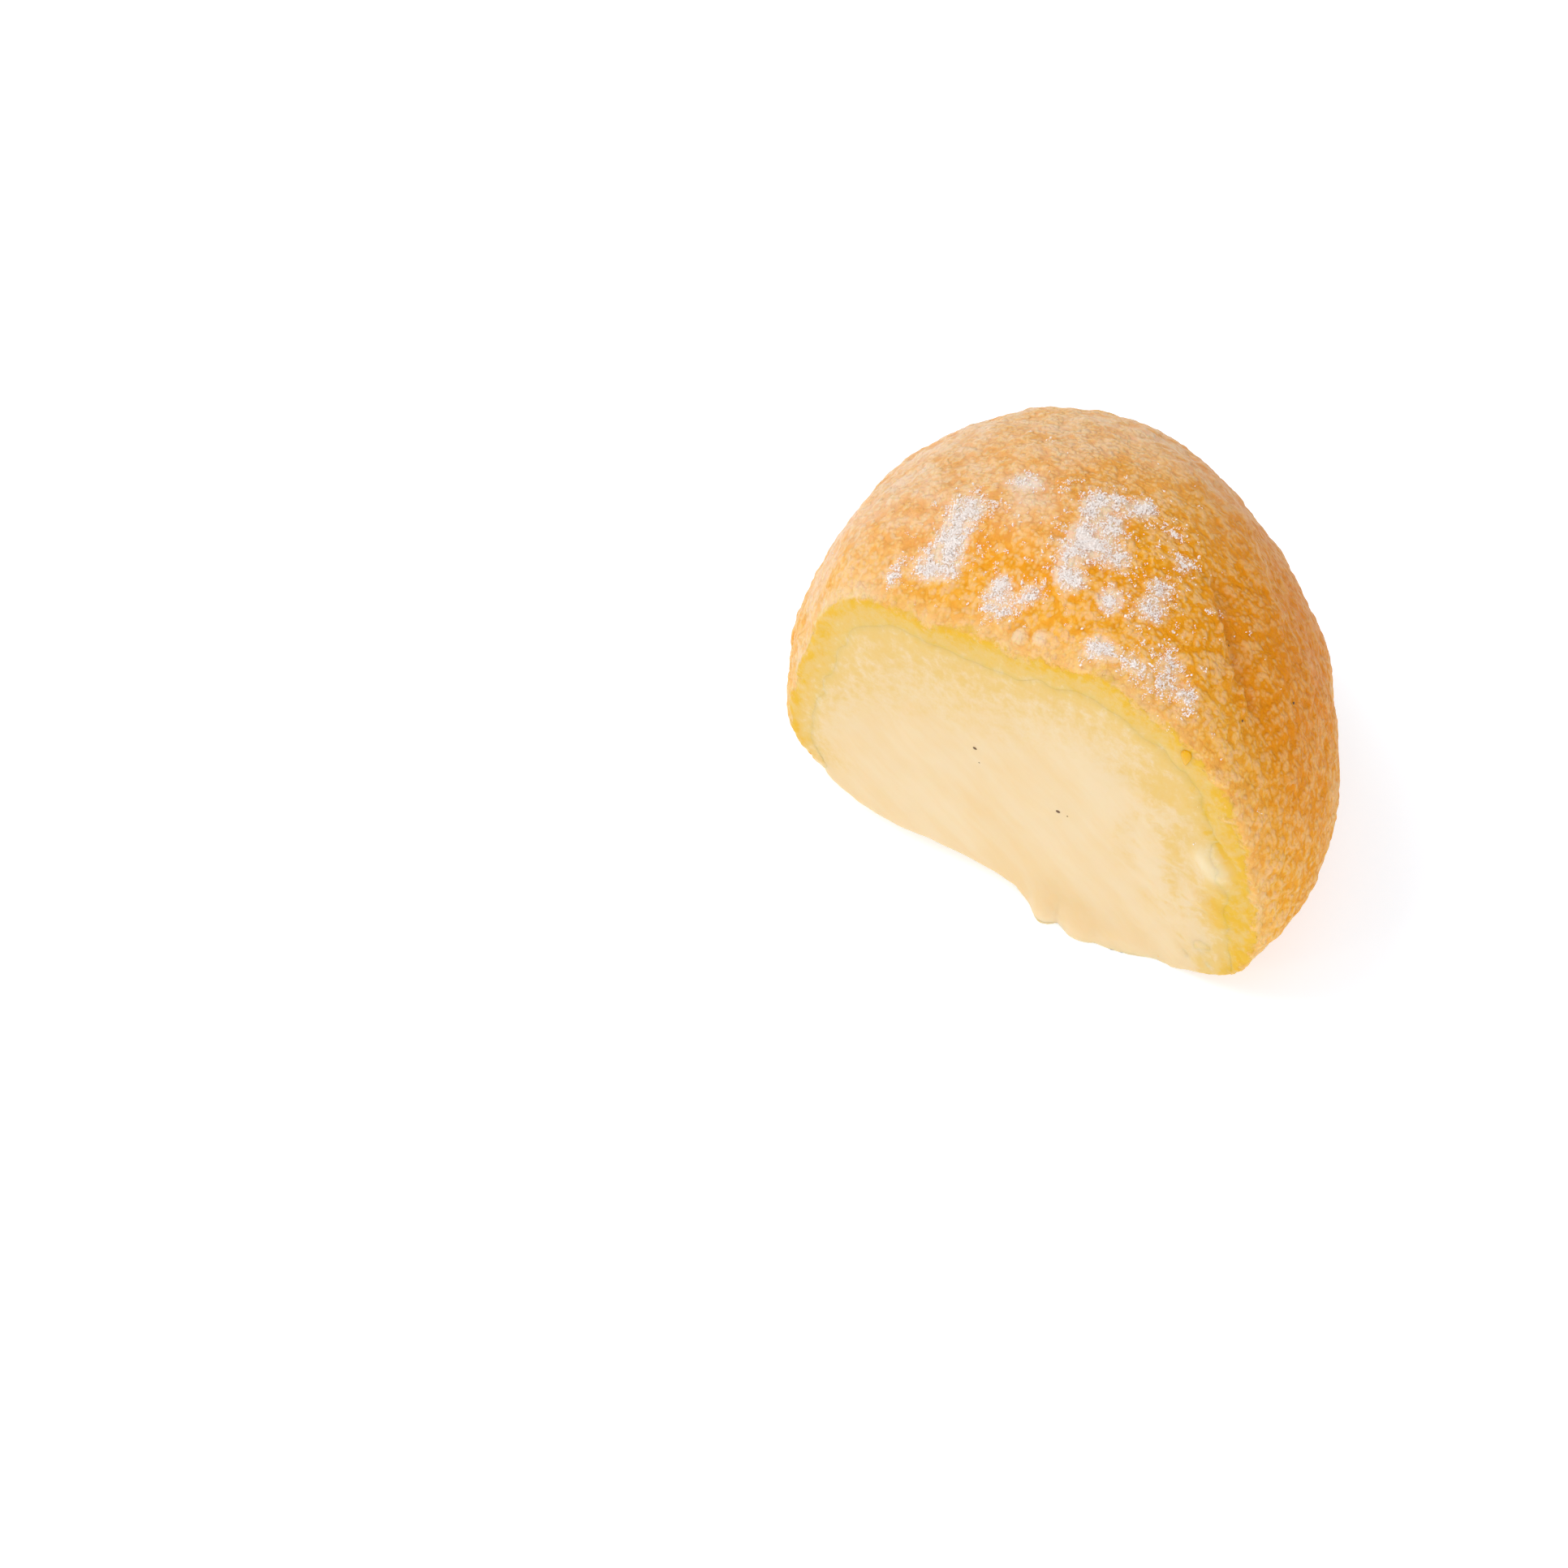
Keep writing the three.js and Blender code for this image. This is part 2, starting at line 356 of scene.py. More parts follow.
def roughen_group(piece, group, pattern, width, rise):
    """Raises and lowers the vertices of a group by a pattern: clouds, or the domes of blisters."""
    texture = bpy.data.textures.new(f"{group}_{pattern}", "CLOUDS" if pattern == "clouds" else "VORONOI")
    texture.noise_scale = width
    strength, middle = rise, 0.5
    if pattern == "clouds":
        texture.noise_depth = 1
    else:
        texture.distance_metric = "DISTANCE_SQUARED"
        strength, middle = -rise, 0.35
    modify(
        piece,
        "DISPLACE",
        texture=texture,
        texture_coords="LOCAL",
        strength=strength,
        mid_level=middle,
        vertex_group=group,
    )
    bpy.data.textures.remove(texture)


def mesh_piece(name, points, faces):
    """A new mesh object from arrays of points and faces."""
    mesh = bpy.data.meshes.new(name)
    mesh.from_pydata(points.tolist(), [], faces.tolist())
    mesh.update()
    piece = bpy.data.objects.new(name, mesh)
    bpy.context.collection.objects.link(piece)
    return piece


def add_node(tree, kind, settings=None, inputs=None):
    """Adds a node, sets its properties, and sets or links its inputs by name or number."""
    node = tree.nodes.new(kind)
    for name, value in (settings or {}).items():
        setattr(node, name, value)
    for key, value in (inputs or {}).items():
        if isinstance(value, bpy.types.NodeSocket):
            tree.links.new(value, node.inputs[key])
        else:
            node.inputs[key].default_value = value
    return node


def new_material(name):
    """A node material with only its output."""
    material = bpy.data.materials.new(name)
    material.use_nodes = True
    tree = material.node_tree
    tree.nodes.clear()
    return material, tree


def cut_colour_nodes(tree, settings, place):
    """Colour of the cut, the same on dough and cream: yolk yellow, butter, then ivory, with soft mottles."""
    yellow = add_node(tree, "ShaderNodeAttribute", {"attribute_name": "yellow"}).outputs["Fac"]
    mottle = add_node(
        tree,
        "ShaderNodeTexNoise",
        inputs={"Vector": place, "Scale": 1 / (1.0 * MM), "Detail": 5.0, "Roughness": 0.7},
    ).outputs["Fac"]
    change = add_node(
        tree,
        "ShaderNodeMapRange",
        inputs={"Value": mottle, "From Min": 0.25, "From Max": 0.75, "To Min": 0.2, "To Max": 1.8},
    ).outputs["Result"]
    spread = add_node(
        tree, "ShaderNodeMath", {"operation": "MULTIPLY"}, {0: yellow, 1: change}
    ).outputs["Value"]
    blade = add_node(
        tree,
        "ShaderNodeMapping",
        {"vector_type": "TEXTURE"},
        {"Vector": place, "Rotation": (0.0, math.radians(37), 0.0), "Scale": (6.0, 1.0, 1.0)},
    ).outputs["Vector"]
    streaks = add_node(
        tree,
        "ShaderNodeTexNoise",
        inputs={"Vector": blade, "Scale": 1 / (1.5 * MM), "Detail": 4.0, "Roughness": 0.6},
    ).outputs["Fac"]
    clouds = add_node(
        tree,
        "ShaderNodeTexNoise",
        inputs={"Vector": place, "Scale": 1 / (5.0 * MM), "Detail": 2.0},
    ).outputs["Fac"]
    uneven = add_node(
        tree, "ShaderNodeMath", {"operation": "MULTIPLY_ADD"}, {0: clouds, 1: 0.8, 2: streaks}
    ).outputs["Value"]
    streak_share = add_node(
        tree,
        "ShaderNodeMapRange",
        inputs={"Value": uneven, "From Min": 0.72, "From Max": 1.12},
    ).outputs["Result"]
    cream = add_node(
        tree,
        "ShaderNodeMix",
        {"data_type": "RGBA"},
        {"Factor": streak_share, MIX_A: settings.ivory, MIX_B: settings.custard},
    ).outputs[MIX_COLOUR]
    buttery = add_node(
        tree,
        "ShaderNodeMapRange",
        {"interpolation_type": "SMOOTHSTEP"},
        {"Value": spread, "From Min": 0.05, "From Max": 0.5},
    ).outputs["Result"]
    butter = add_node(
        tree,
        "ShaderNodeMix",
        {"data_type": "RGBA"},
        {"Factor": buttery, MIX_A: cream, MIX_B: settings.butter},
    ).outputs[MIX_COLOUR]
    eggy = add_node(
        tree,
        "ShaderNodeMapRange",
        {"interpolation_type": "SMOOTHSTEP"},
        {"Value": spread, "From Min": 0.4, "From Max": 1.2},
    ).outputs["Result"]
    yolk = add_node(
        tree,
        "ShaderNodeMix",
        {"data_type": "RGBA"},
        {"Factor": eggy, MIX_A: butter, MIX_B: settings.yolk},
    ).outputs[MIX_COLOUR]
    wet = add_node(tree, "ShaderNodeAttribute", {"attribute_name": "wet"}).outputs["Fac"]
    colour = add_node(
        tree,
        "ShaderNodeMix",
        {"data_type": "RGBA"},
        {"Factor": wet, MIX_A: yolk, MIX_B: settings.swollen},
    ).outputs[MIX_COLOUR]
    return colour, wet


def fried_dough_material(settings):
    # Enriched dough fried in oil: a thin amber skin, a little see-through and oily, strewn with fine
    # blisters whose tips stay pale, over a yellow crumb that shows where it is cut. A breath of sugar
    # dulls it in places, and where sugar lies it has drawn damp and left a pale veil. Painted shade darkens
    # the right and back of the crown and the groove of the fold, a painted sheen pales the back and left of
    # the crown, and a painted highlight pales the middles of the bubbles.
    material, tree = new_material("Fried dough, blistered in oil")
    place = add_node(tree, "ShaderNodeTexCoord").outputs["Object"]
    marks = {}
    for name in ("skin", "relief", "browned_and_shaded", "sunny", "fold", "breath_and_sheen", "bubble", "dust"):
        marks[name] = add_node(tree, "ShaderNodeAttribute", {"attribute_name": name}).outputs["Fac"]

    # Patches several millimetres wide that browned more, and painted shade on the right and back of the crown
    browning = add_node(
        tree,
        "ShaderNodeTexNoise",
        inputs={"Vector": place, "Scale": 1 / settings.patch_width, "Detail": 3.0},
    ).outputs["Fac"]
    patches = add_node(
        tree, "ShaderNodeMath", {"operation": "MULTIPLY_ADD"}, {0: marks["browned_and_shaded"], 1: 0.3, 2: browning}
    ).outputs["Value"]
    browned_and_shaded = add_node(
        tree,
        "ShaderNodeMapRange",
        inputs={"Value": patches, "From Min": 0.40, "From Max": 0.80},
    ).outputs["Result"]
    golden = add_node(
        tree,
        "ShaderNodeMix",
        {"data_type": "RGBA"},
        {"Factor": browned_and_shaded, MIX_A: settings.golden, MIX_B: settings.amber},
    ).outputs[MIX_COLOUR]

    # Pale blisters of two sizes, scattered and a little drawn out down the sides, over a finer grain
    stray = add_node(
        tree, "ShaderNodeTexNoise", inputs={"Vector": place, "Scale": 1 / (0.8 * MM), "Detail": 2.0}
    ).outputs["Color"]
    wander = add_node(
        tree,
        "ShaderNodeVectorMath",
        {"operation": "MULTIPLY_ADD"},
        {0: stray, 1: (0.35 * MM, 0.35 * MM, 0.35 * MM), 2: place},
    ).outputs["Vector"]
    drawn_out = add_node(
        tree, "ShaderNodeMapping", inputs={"Vector": wander, "Scale": (1.0, 1.0, 0.8)}
    ).outputs["Vector"]
    grain = add_node(
        tree,
        "ShaderNodeTexNoise",
        inputs={"Vector": drawn_out, "Scale": 1 / settings.grain_width, "Detail": 4.0, "Roughness": 0.6},
    ).outputs["Fac"]
    blisters = add_node(
        tree, "ShaderNodeMath", {"operation": "MULTIPLY"}, {0: grain, 1: 0.8}
    ).outputs["Value"]
    for width in (settings.blister_width, settings.dot_width):
        cells = add_node(
            tree, "ShaderNodeTexVoronoi", inputs={"Vector": drawn_out, "Scale": 1 / width}
        ).outputs
        chance = add_node(tree, "ShaderNodeSeparateColor", inputs={"Color": cells["Color"]}).outputs["Red"]
        there = add_node(
            tree,
            "ShaderNodeMapRange",
            {"interpolation_type": "SMOOTHSTEP"},
            {"Value": chance, "From Min": 0.0, "From Max": 0.7},
        ).outputs["Result"]
        dome = add_node(
            tree,
            "ShaderNodeMapRange",
            inputs={"Value": cells["Distance"], "From Min": 0.85, "From Max": 0.1, "To Max": 0.8},
        ).outputs["Result"]
        blisters = add_node(
            tree, "ShaderNodeMath", {"operation": "MULTIPLY_ADD"}, {0: there, 1: dome, 2: blisters}
        ).outputs["Value"]
    clusters = add_node(
        tree,
        "ShaderNodeTexNoise",
        inputs={"Vector": place, "Scale": 1 / settings.cluster_width, "Detail": 2.0},
    ).outputs["Fac"]
    crowded = add_node(
        tree, "ShaderNodeMath", {"operation": "MULTIPLY_ADD"}, {0: clusters, 1: 0.8, 2: blisters}
    ).outputs["Value"]
    lifted = add_node(
        tree, "ShaderNodeMath", {"operation": "MULTIPLY_ADD"}, {0: marks["relief"], 1: 0.2, 2: crowded}
    ).outputs["Value"]
    tip = add_node(
        tree,
        "ShaderNodeMapRange",
        inputs={"Value": lifted, "From Min": 1.12, "From Max": 1.78},
    ).outputs["Result"]
    valley = add_node(
        tree,
        "ShaderNodeMapRange",
        inputs={"Value": lifted, "From Min": 1.54, "From Max": 0.90},
    ).outputs["Result"]
    shaded = add_node(
        tree,
        "ShaderNodeMix",
        {"data_type": "RGBA"},
        {"Factor": valley, MIX_A: golden, MIX_B: settings.brown},
    ).outputs[MIX_COLOUR]
    between = add_node(
        tree, "ShaderNodeMapRange", inputs={"Value": valley, "To Min": 1.0, "To Max": 0.35}
    ).outputs["Result"]
    sunny_share = add_node(
        tree, "ShaderNodeMath", {"operation": "MULTIPLY"}, {0: marks["sunny"], 1: between}
    ).outputs["Value"]
    sunny = add_node(
        tree,
        "ShaderNodeMix",
        {"data_type": "RGBA"},
        {"Factor": sunny_share, MIX_A: shaded, MIX_B: settings.sunny},
    ).outputs[MIX_COLOUR]
    # Blister tips stay less pale where the painted shade of the right and back lies
    lightest = add_node(
        tree, "ShaderNodeMapRange", inputs={"Value": marks["browned_and_shaded"], "To Min": 1.0, "To Max": 0.8}
    ).outputs["Result"]
    tip_share = add_node(
        tree, "ShaderNodeMath", {"operation": "MULTIPLY"}, {0: tip, 1: lightest}
    ).outputs["Value"]
    tipped = add_node(
        tree,
        "ShaderNodeMix",
        {"data_type": "RGBA"},
        {"Factor": tip_share, MIX_A: sunny, MIX_B: settings.pale},
    ).outputs[MIX_COLOUR]
    # Painted shade in the groove of the fold
    fold_shaded = add_node(
        tree,
        "ShaderNodeMix",
        {"data_type": "RGBA"},
        {"Factor": marks["fold"], MIX_A: tipped, MIX_B: settings.valley},
    ).outputs[MIX_COLOUR]
    # Painted shade: a tint multiplied over the right and back of the crown, darker higher up
    shade_tinted = add_node(
        tree,
        "ShaderNodeMix",
        {"data_type": "RGBA", "blend_type": "MULTIPLY"},
        {"Factor": marks["browned_and_shaded"], MIX_A: fold_shaded, MIX_B: settings.shade_tint},
    ).outputs[MIX_COLOUR]
    beside_cut = add_node(
        tree,
        "ShaderNodeMapRange",
        inputs={"Value": marks["skin"], "From Min": 0.9, "From Max": 0.0, "To Max": 1.4},
    ).outputs["Result"]
    rim_share = add_node(
        tree, "ShaderNodeMath", {"operation": "MULTIPLY"}, {0: beside_cut, 1: clusters}
    ).outputs["Value"]
    rimmed = add_node(
        tree,
        "ShaderNodeMix",
        {"data_type": "RGBA"},
        {"Factor": rim_share, MIX_A: shade_tinted, MIX_B: settings.rim},
    ).outputs[MIX_COLOUR]
    # Pale thin skin of the bubbles, with a painted highlight strongest at their middles
    bubbles_with_highlight = add_node(
        tree,
        "ShaderNodeMix",
        {"data_type": "RGBA"},
        {"Factor": marks["bubble"], MIX_A: rimmed, MIX_B: settings.bubble},
    ).outputs[MIX_COLOUR]

    cut_colour, wet = cut_colour_nodes(tree, settings, place)
    ragged = add_node(
        tree,
        "ShaderNodeTexNoise",
        inputs={"Vector": place, "Scale": 1 / settings.rag_width, "Detail": 5.0, "Roughness": 0.7},
    ).outputs["Fac"]
    edge = add_node(
        tree, "ShaderNodeMath", {"operation": "MULTIPLY_ADD"}, {0: ragged, 1: 3.0, 2: marks["skin"]}
    ).outputs["Value"]
    skin_share = add_node(
        tree,
        "ShaderNodeMapRange",
        {"interpolation_type": "SMOOTHSTEP"},
        {"Value": edge, "From Min": 1.3, "From Max": 1.75},
    ).outputs["Result"]
    dough = add_node(
        tree,
        "ShaderNodeMix",
        {"data_type": "RGBA"},
        {"Factor": skin_share, MIX_A: cut_colour, MIX_B: bubbles_with_highlight},
    ).outputs[MIX_COLOUR]

    # A breath of sugar in soft clouds, which also paints a sheen on the back and left of the crown, and the veil
    # round the sugar
    breath = add_node(
        tree,
        "ShaderNodeMapRange",
        inputs={"Value": clusters, "From Min": 0.3, "From Max": 0.7, "To Min": 0.5, "To Max": 1.5},
    ).outputs["Result"]
    breath_and_sheen_share = add_node(
        tree, "ShaderNodeMath", {"operation": "MULTIPLY"}, {0: marks["breath_and_sheen"], 1: breath}
    ).outputs["Value"]
    sheened = add_node(
        tree,
        "ShaderNodeMix",
        {"data_type": "RGBA"},
        {"Factor": breath_and_sheen_share, MIX_A: dough, MIX_B: settings.breath_and_sheen},
    ).outputs[MIX_COLOUR]
    clots = add_node(
        tree,
        "ShaderNodeTexNoise",
        inputs={"Vector": place, "Scale": 1 / (0.35 * MM), "Detail": 5.0, "Roughness": 0.75},
    ).outputs["Fac"]
    dusted = add_node(
        tree, "ShaderNodeMath", {"operation": "MULTIPLY_ADD"}, {0: marks["dust"], 1: 0.8, 2: clots}
    ).outputs["Value"]
    veil_share = add_node(
        tree,
        "ShaderNodeMapRange",
        {"interpolation_type": "SMOOTHSTEP"},
        {"Value": dusted, "From Min": 0.58, "From Max": 1.1, "To Max": 0.5},
    ).outputs["Result"]
    colour = add_node(
        tree,
        "ShaderNodeMix",
        {"data_type": "RGBA"},
        {"Factor": veil_share, MIX_A: sheened, MIX_B: settings.film},
    ).outputs[MIX_COLOUR]

    dulled = add_node(
        tree,
        "ShaderNodeMapRange",
        inputs={"Value": veil_share, "From Max": 0.5, "To Min": 0.38, "To Max": 0.65},
    ).outputs["Result"]
    glossy = add_node(
        tree, "ShaderNodeMath", {"operation": "MULTIPLY_ADD"}, {0: marks["bubble"], 1: -0.3, 2: dulled}
    ).outputs["Value"]
    roughness = add_node(
        tree, "ShaderNodeMath", {"operation": "MULTIPLY_ADD"}, {0: wet, 1: -0.13, 2: glossy}
    ).outputs["Value"]
    raised = add_node(
        tree, "ShaderNodeMath", {"operation": "SUBTRACT"}, {0: blisters, 1: 0.88}
    ).outputs["Value"]
    relief = add_node(
        tree, "ShaderNodeMath", {"operation": "MULTIPLY"}, {0: raised, 1: skin_share}
    ).outputs["Value"]
    bump = add_node(
        tree,
        "ShaderNodeBump",
        inputs={"Strength": 1.0, "Distance": 0.2 * MM, "Height": relief},
    ).outputs["Normal"]
    shader = add_node(
        tree,
        "ShaderNodeBsdfPrincipled",
        inputs={
            "Base Color": colour,
            "Roughness": roughness,
            "IOR": 1.45,
            "Specular IOR Level": 0.06,
            "Coat Weight": 0.03,
            "Coat Roughness": 0.15,
            "Subsurface Weight": 0.4,
            "Subsurface Radius": (1.0, 0.45, 0.15),
            "Subsurface Scale": 0.8 * MM,
            "Normal": bump,
        },
    ).outputs["BSDF"]
    add_node(tree, "ShaderNodeOutputMaterial", inputs={"Surface": shader})
    return material


def cream_material(settings):
    # Set pastry cream cut with a knife: smooth, ivory, slightly see-through at the surface, with faint
    # streaks along the blade's way and a yellower edge where it soaked into the dough.
    material, tree = new_material("Pastry cream, cut with a knife")
    place = add_node(tree, "ShaderNodeTexCoord").outputs["Object"]
    colour, wet = cut_colour_nodes(tree, settings, place)
    blade = add_node(
        tree,
        "ShaderNodeMapping",
        {"vector_type": "TEXTURE"},
        {"Vector": place, "Rotation": (0.0, math.radians(37), 0.0), "Scale": (6.0, 1.0, 1.0)},
    ).outputs["Vector"]
    streaks = add_node(
        tree,
        "ShaderNodeTexNoise",
        inputs={"Vector": blade, "Scale": 1 / settings.streak_width, "Detail": 4.0, "Roughness": 0.6},
    ).outputs["Fac"]
    bump = add_node(
        tree,
        "ShaderNodeBump",
        inputs={"Strength": 0.35, "Distance": 0.12 * MM, "Height": streaks},
    ).outputs["Normal"]
    roughness = add_node(
        tree, "ShaderNodeMapRange", inputs={"Value": wet, "To Min": 0.45, "To Max": 0.25}
    ).outputs["Result"]
    shader = add_node(
        tree,
        "ShaderNodeBsdfPrincipled",
        inputs={
            "Base Color": colour,
            "Roughness": roughness,
            "IOR": 1.4,
            "Subsurface Weight": 0.35,
            "Subsurface Radius": (1.0, 0.6, 0.3),
            "Subsurface Scale": 1.5 * MM,
            "Normal": bump,
        },
    ).outputs["BSDF"]
    add_node(tree, "ShaderNodeOutputMaterial", inputs={"Surface": shader})
    return material


def sugar_material(settings):
    # Icing sugar as crushed grains: white, dull in the heap, with light passing between the grains.
    material, tree = new_material("Sugar, crushed grains")
    place = add_node(tree, "ShaderNodeTexCoord").outputs["Object"]
    shade = add_node(
        tree,
        "ShaderNodeTexNoise",
        inputs={"Vector": place, "Scale": 1 / (0.4 * MM), "Detail": 2.0},
    ).outputs["Fac"]
    colour = add_node(
        tree,
        "ShaderNodeMix",
        {"data_type": "RGBA"},
        {"Factor": shade, MIX_A: settings.bright, MIX_B: settings.shaded},
    ).outputs[MIX_COLOUR]
    shader = add_node(
        tree,
        "ShaderNodeBsdfPrincipled",
        inputs={
            "Base Color": colour,
            "Roughness": 0.55,
            "IOR": 1.5,
            "Subsurface Weight": 0.2,
            "Subsurface Radius": (1.0, 0.9, 0.8),
            "Subsurface Scale": 0.2 * MM,
        },
    ).outputs["BSDF"]
    add_node(tree, "ShaderNodeOutputMaterial", inputs={"Surface": shader})
    return material


def yolk_material(settings):
    # Egg yolk set in the fat: deep yellow, clear at its edge and shiny.
    material, tree = new_material("Egg yolk, set in hot fat")
    place = add_node(tree, "ShaderNodeTexCoord").outputs["Object"]
    clouds = add_node(
        tree,
        "ShaderNodeTexNoise",
        inputs={"Vector": place, "Scale": 1 / (0.5 * MM), "Detail": 2.0},
    ).outputs["Fac"]
    colour = add_node(
        tree,
        "ShaderNodeMix",
        {"data_type": "RGBA"},
        {"Factor": clouds, MIX_A: settings.deep, MIX_B: settings.light},
    ).outputs[MIX_COLOUR]
    shader = add_node(
        tree,
        "ShaderNodeBsdfPrincipled",
        inputs={
            "Base Color": colour,
            "Roughness": 0.18,
            "IOR": 1.42,
            "Subsurface Weight": 0.4,
            "Subsurface Radius": (1.0, 0.6, 0.1),
            "Subsurface Scale": 0.4 * MM,
        },
    ).outputs["BSDF"]
    add_node(tree, "ShaderNodeOutputMaterial", inputs={"Surface": shader})
    return material


def vanilla_material(settings):
    # Vanilla seed: nearly black brown, softened by the film of cream or oil over it.
    material, tree = new_material("Vanilla seed, dried")
    place = add_node(tree, "ShaderNodeTexCoord").outputs["Object"]
    grain = add_node(
        tree,
        "ShaderNodeTexNoise",
        inputs={"Vector": place, "Scale": 1 / (0.1 * MM), "Detail": 2.0},
    ).outputs["Fac"]
    colour = add_node(
        tree,
        "ShaderNodeMix",
        {"data_type": "RGBA"},
        {"Factor": grain, MIX_A: settings.seed_dark, MIX_B: settings.seed_light},
    ).outputs[MIX_COLOUR]
    shader = add_node(
        tree,
        "ShaderNodeBsdfPrincipled",
        inputs={"Base Color": colour, "Roughness": 0.5, "IOR": 1.45},
    ).outputs["BSDF"]
    add_node(tree, "ShaderNodeOutputMaterial", inputs={"Surface": shader})
    return material


def floor_material(settings):
    # Matt white studio paper over a lit table, so that shadows on it stay faint
    material, tree = new_material("Studio paper, matt white")
    place = add_node(tree, "ShaderNodeTexCoord").outputs["Object"]
    fibre = add_node(
        tree,
        "ShaderNodeTexNoise",
        inputs={"Vector": place, "Scale": 1 / (2.0 * MM), "Detail": 2.0},
    ).outputs["Fac"]
    roughness = add_node(
        tree,
        "ShaderNodeMapRange",
        inputs={"Value": fibre, "To Min": 0.85, "To Max": 0.95},
    ).outputs["Result"]
    shader = add_node(
        tree,
        "ShaderNodeBsdfPrincipled",
        inputs={
            "Base Color": settings.paper,
            "Roughness": roughness,
            "Specular IOR Level": 0.0,
            "Emission Color": settings.light,
            "Emission Strength": settings.glow,
        },
    ).outputs["BSDF"]
    add_node(tree, "ShaderNodeOutputMaterial", inputs={"Surface": shader})
    return material


def length_setting(name, description, default):
    return FloatProperty(
        name=name, description=description, default=default, min=0.0, subtype="DISTANCE", precision=6
    )


def colour_setting(name, description, hex_colour):
    return FloatVectorProperty(
        name=name,
        description=description,
        default=linear(hex_colour),
        min=0.0,
        max=1.0,
        size=4,
        subtype="COLOR",
    )


class BUNUELO_PG_dough(bpy.types.PropertyGroup):
    """Sizes and colours of the fried dough"""

    mesh_step: length_setting("Mesh step", "Spacing of the skin's vertices", 0.255 * MM)
    swell_width: length_setting("Swelling width", "Width of the soft swellings of the skin", 3.2 * MM)
    swell_rise: length_setting("Swelling rise", "Height of the soft swellings", 0.30 * MM)
    wrinkle_width: length_setting("Wrinkle width", "Width of the bumps between swellings", 1.4 * MM)
    wrinkle_rise: length_setting("Wrinkle rise", "Height of those bumps", 0.30 * MM)
    dome_width: length_setting("Blister spacing", "Spacing of the modelled blisters", 0.75 * MM)
    dome_rise: length_setting("Blister rise", "Height of the modelled blisters", 0.17 * MM)
    blister_width: length_setting("Wide blister", "Spacing of the wider pale blisters", 0.6 * MM)
    dot_width: length_setting("Small blister", "Spacing of the smaller pale blisters", 0.36 * MM)
    grain_width: length_setting("Grain", "Width of the mottles between blisters", 0.55 * MM)
    cluster_width: length_setting("Blister cluster", "Width of clusters of pale blisters", 2.6 * MM)
    patch_width: length_setting("Browned patch", "Width of patches that browned more", 6.5 * MM)
    rag_width: length_setting("Ragged rim", "Width of the teeth of the skin along the cut", 1.6 * MM)
    golden: colour_setting("Golden", "Skin that browned least", "#f3b233")
    # Amber also carries painted shade of the right and back of the crown, as well as the browned patches
    amber: colour_setting("Amber", "Skin that browned more", "#ea9e2a")
    brown: colour_setting("Brown", "Valleys between blisters", "#ea9910")
    # Painted shade in the groove of the fold
    valley: colour_setting("Fold", "Skin inside the fold", "#dc8a2e")
    pale: colour_setting("Pale", "Tips of blisters", "#f4be7a")
    sunny: colour_setting("Sunny", "Thin skin near the cut, lit by the crumb under it", "#f6c054")
    # Painted shade: multiplied over the right and back of the crown, darker higher up
    shade_tint: colour_setting("Toast", "Tint of the side that fried longest", "#f1d6a6")
    rim: colour_setting("Rim", "Skin beside the cut", "#eec684")
    # Pale thin skin of the bubbles, with a painted highlight strongest at their middles
    bubble: colour_setting("Bubble", "Bubbles at the rim", "#f0d8ba")
    # Pale breath of sugar, and painted sheen on the back and left of the crown
    breath_and_sheen: colour_setting("Haze", "Breath of sugar on the skin", "#f2e1d0")
    film: colour_setting("Film", "Film of sugar round the grains", "#fbf0e4")
    yolk: colour_setting("Yolk", "Cut dough under the skin", "#e1b138")
    butter: colour_setting("Butter", "Cut dough towards the cream", "#e0bb6e")
    swollen: colour_setting("Swollen", "Wet lump beside the slit", "#e9d6ae")
    ivory: colour_setting("Ivory", "Cream smeared on the cut dough", "#e5cca2")
    custard: colour_setting("Custard", "Streaks in that cream", "#e4c694")


class BUNUELO_PG_cream(bpy.types.PropertyGroup):
    """Sizes and colours of the cream"""

    mesh_step: length_setting("Mesh step", "Spacing of the cream's vertices", 0.3 * MM)
    proud: length_setting("Proud", "How far the cream stands out of the cut", 0.12 * MM)
    ring: length_setting("Dough ring", "Width of cut dough that the smeared cream leaves bare", 1.1 * MM)
    crumb: length_setting("Bare crumb", "How much more it leaves bare at the right", 0.2 * MM)
    streak_width: length_setting("Streak", "Width of the streaks of the knife", 1.5 * MM)
    ivory: colour_setting("Ivory", "Cream", "#e5cca2")
    custard: colour_setting("Custard", "Streaks in the cream", "#e4c694")
    swollen: colour_setting("Swollen", "Wet lump beside the slit", "#e9d6ae")
    butter: colour_setting("Butter", "Cream next to the dough", "#e0bb6e")
    yolk: colour_setting("Yolk", "Cream that soaked up the dough's yellow", "#e1b138")


class BUNUELO_PG_sugar(bpy.types.PropertyGroup):
    """Amount, size and colours of the sugar"""

    grains: IntProperty(name="Grains", description="Grains of sugar on the top", default=24000, min=0)
    radius: length_setting("Grain radius", "Middle radius of a grain", 0.04 * MM)
    seed: IntProperty(name="Seed", description="Start of the random scatter", default=7)
    bright: colour_setting("Bright", "Grain in the light", "#fffbf8")
    shaded: colour_setting("Shaded", "Grain in a heap", "#fff1e9")


class BUNUELO_PG_drop(bpy.types.PropertyGroup):
    """Size and colours of the drop of yolk"""

    width: length_setting("Width", "Across the drop", 0.75 * MM)
    length: length_setting("Length", "Down the drop", 1.6 * MM)
    rise: length_setting("Rise", "How far it stands out", 0.5 * MM)
    deep: colour_setting("Deep", "Thick of the drop", "#dda200")
    light: colour_setting("Light", "Thin of the drop", "#ebb408")


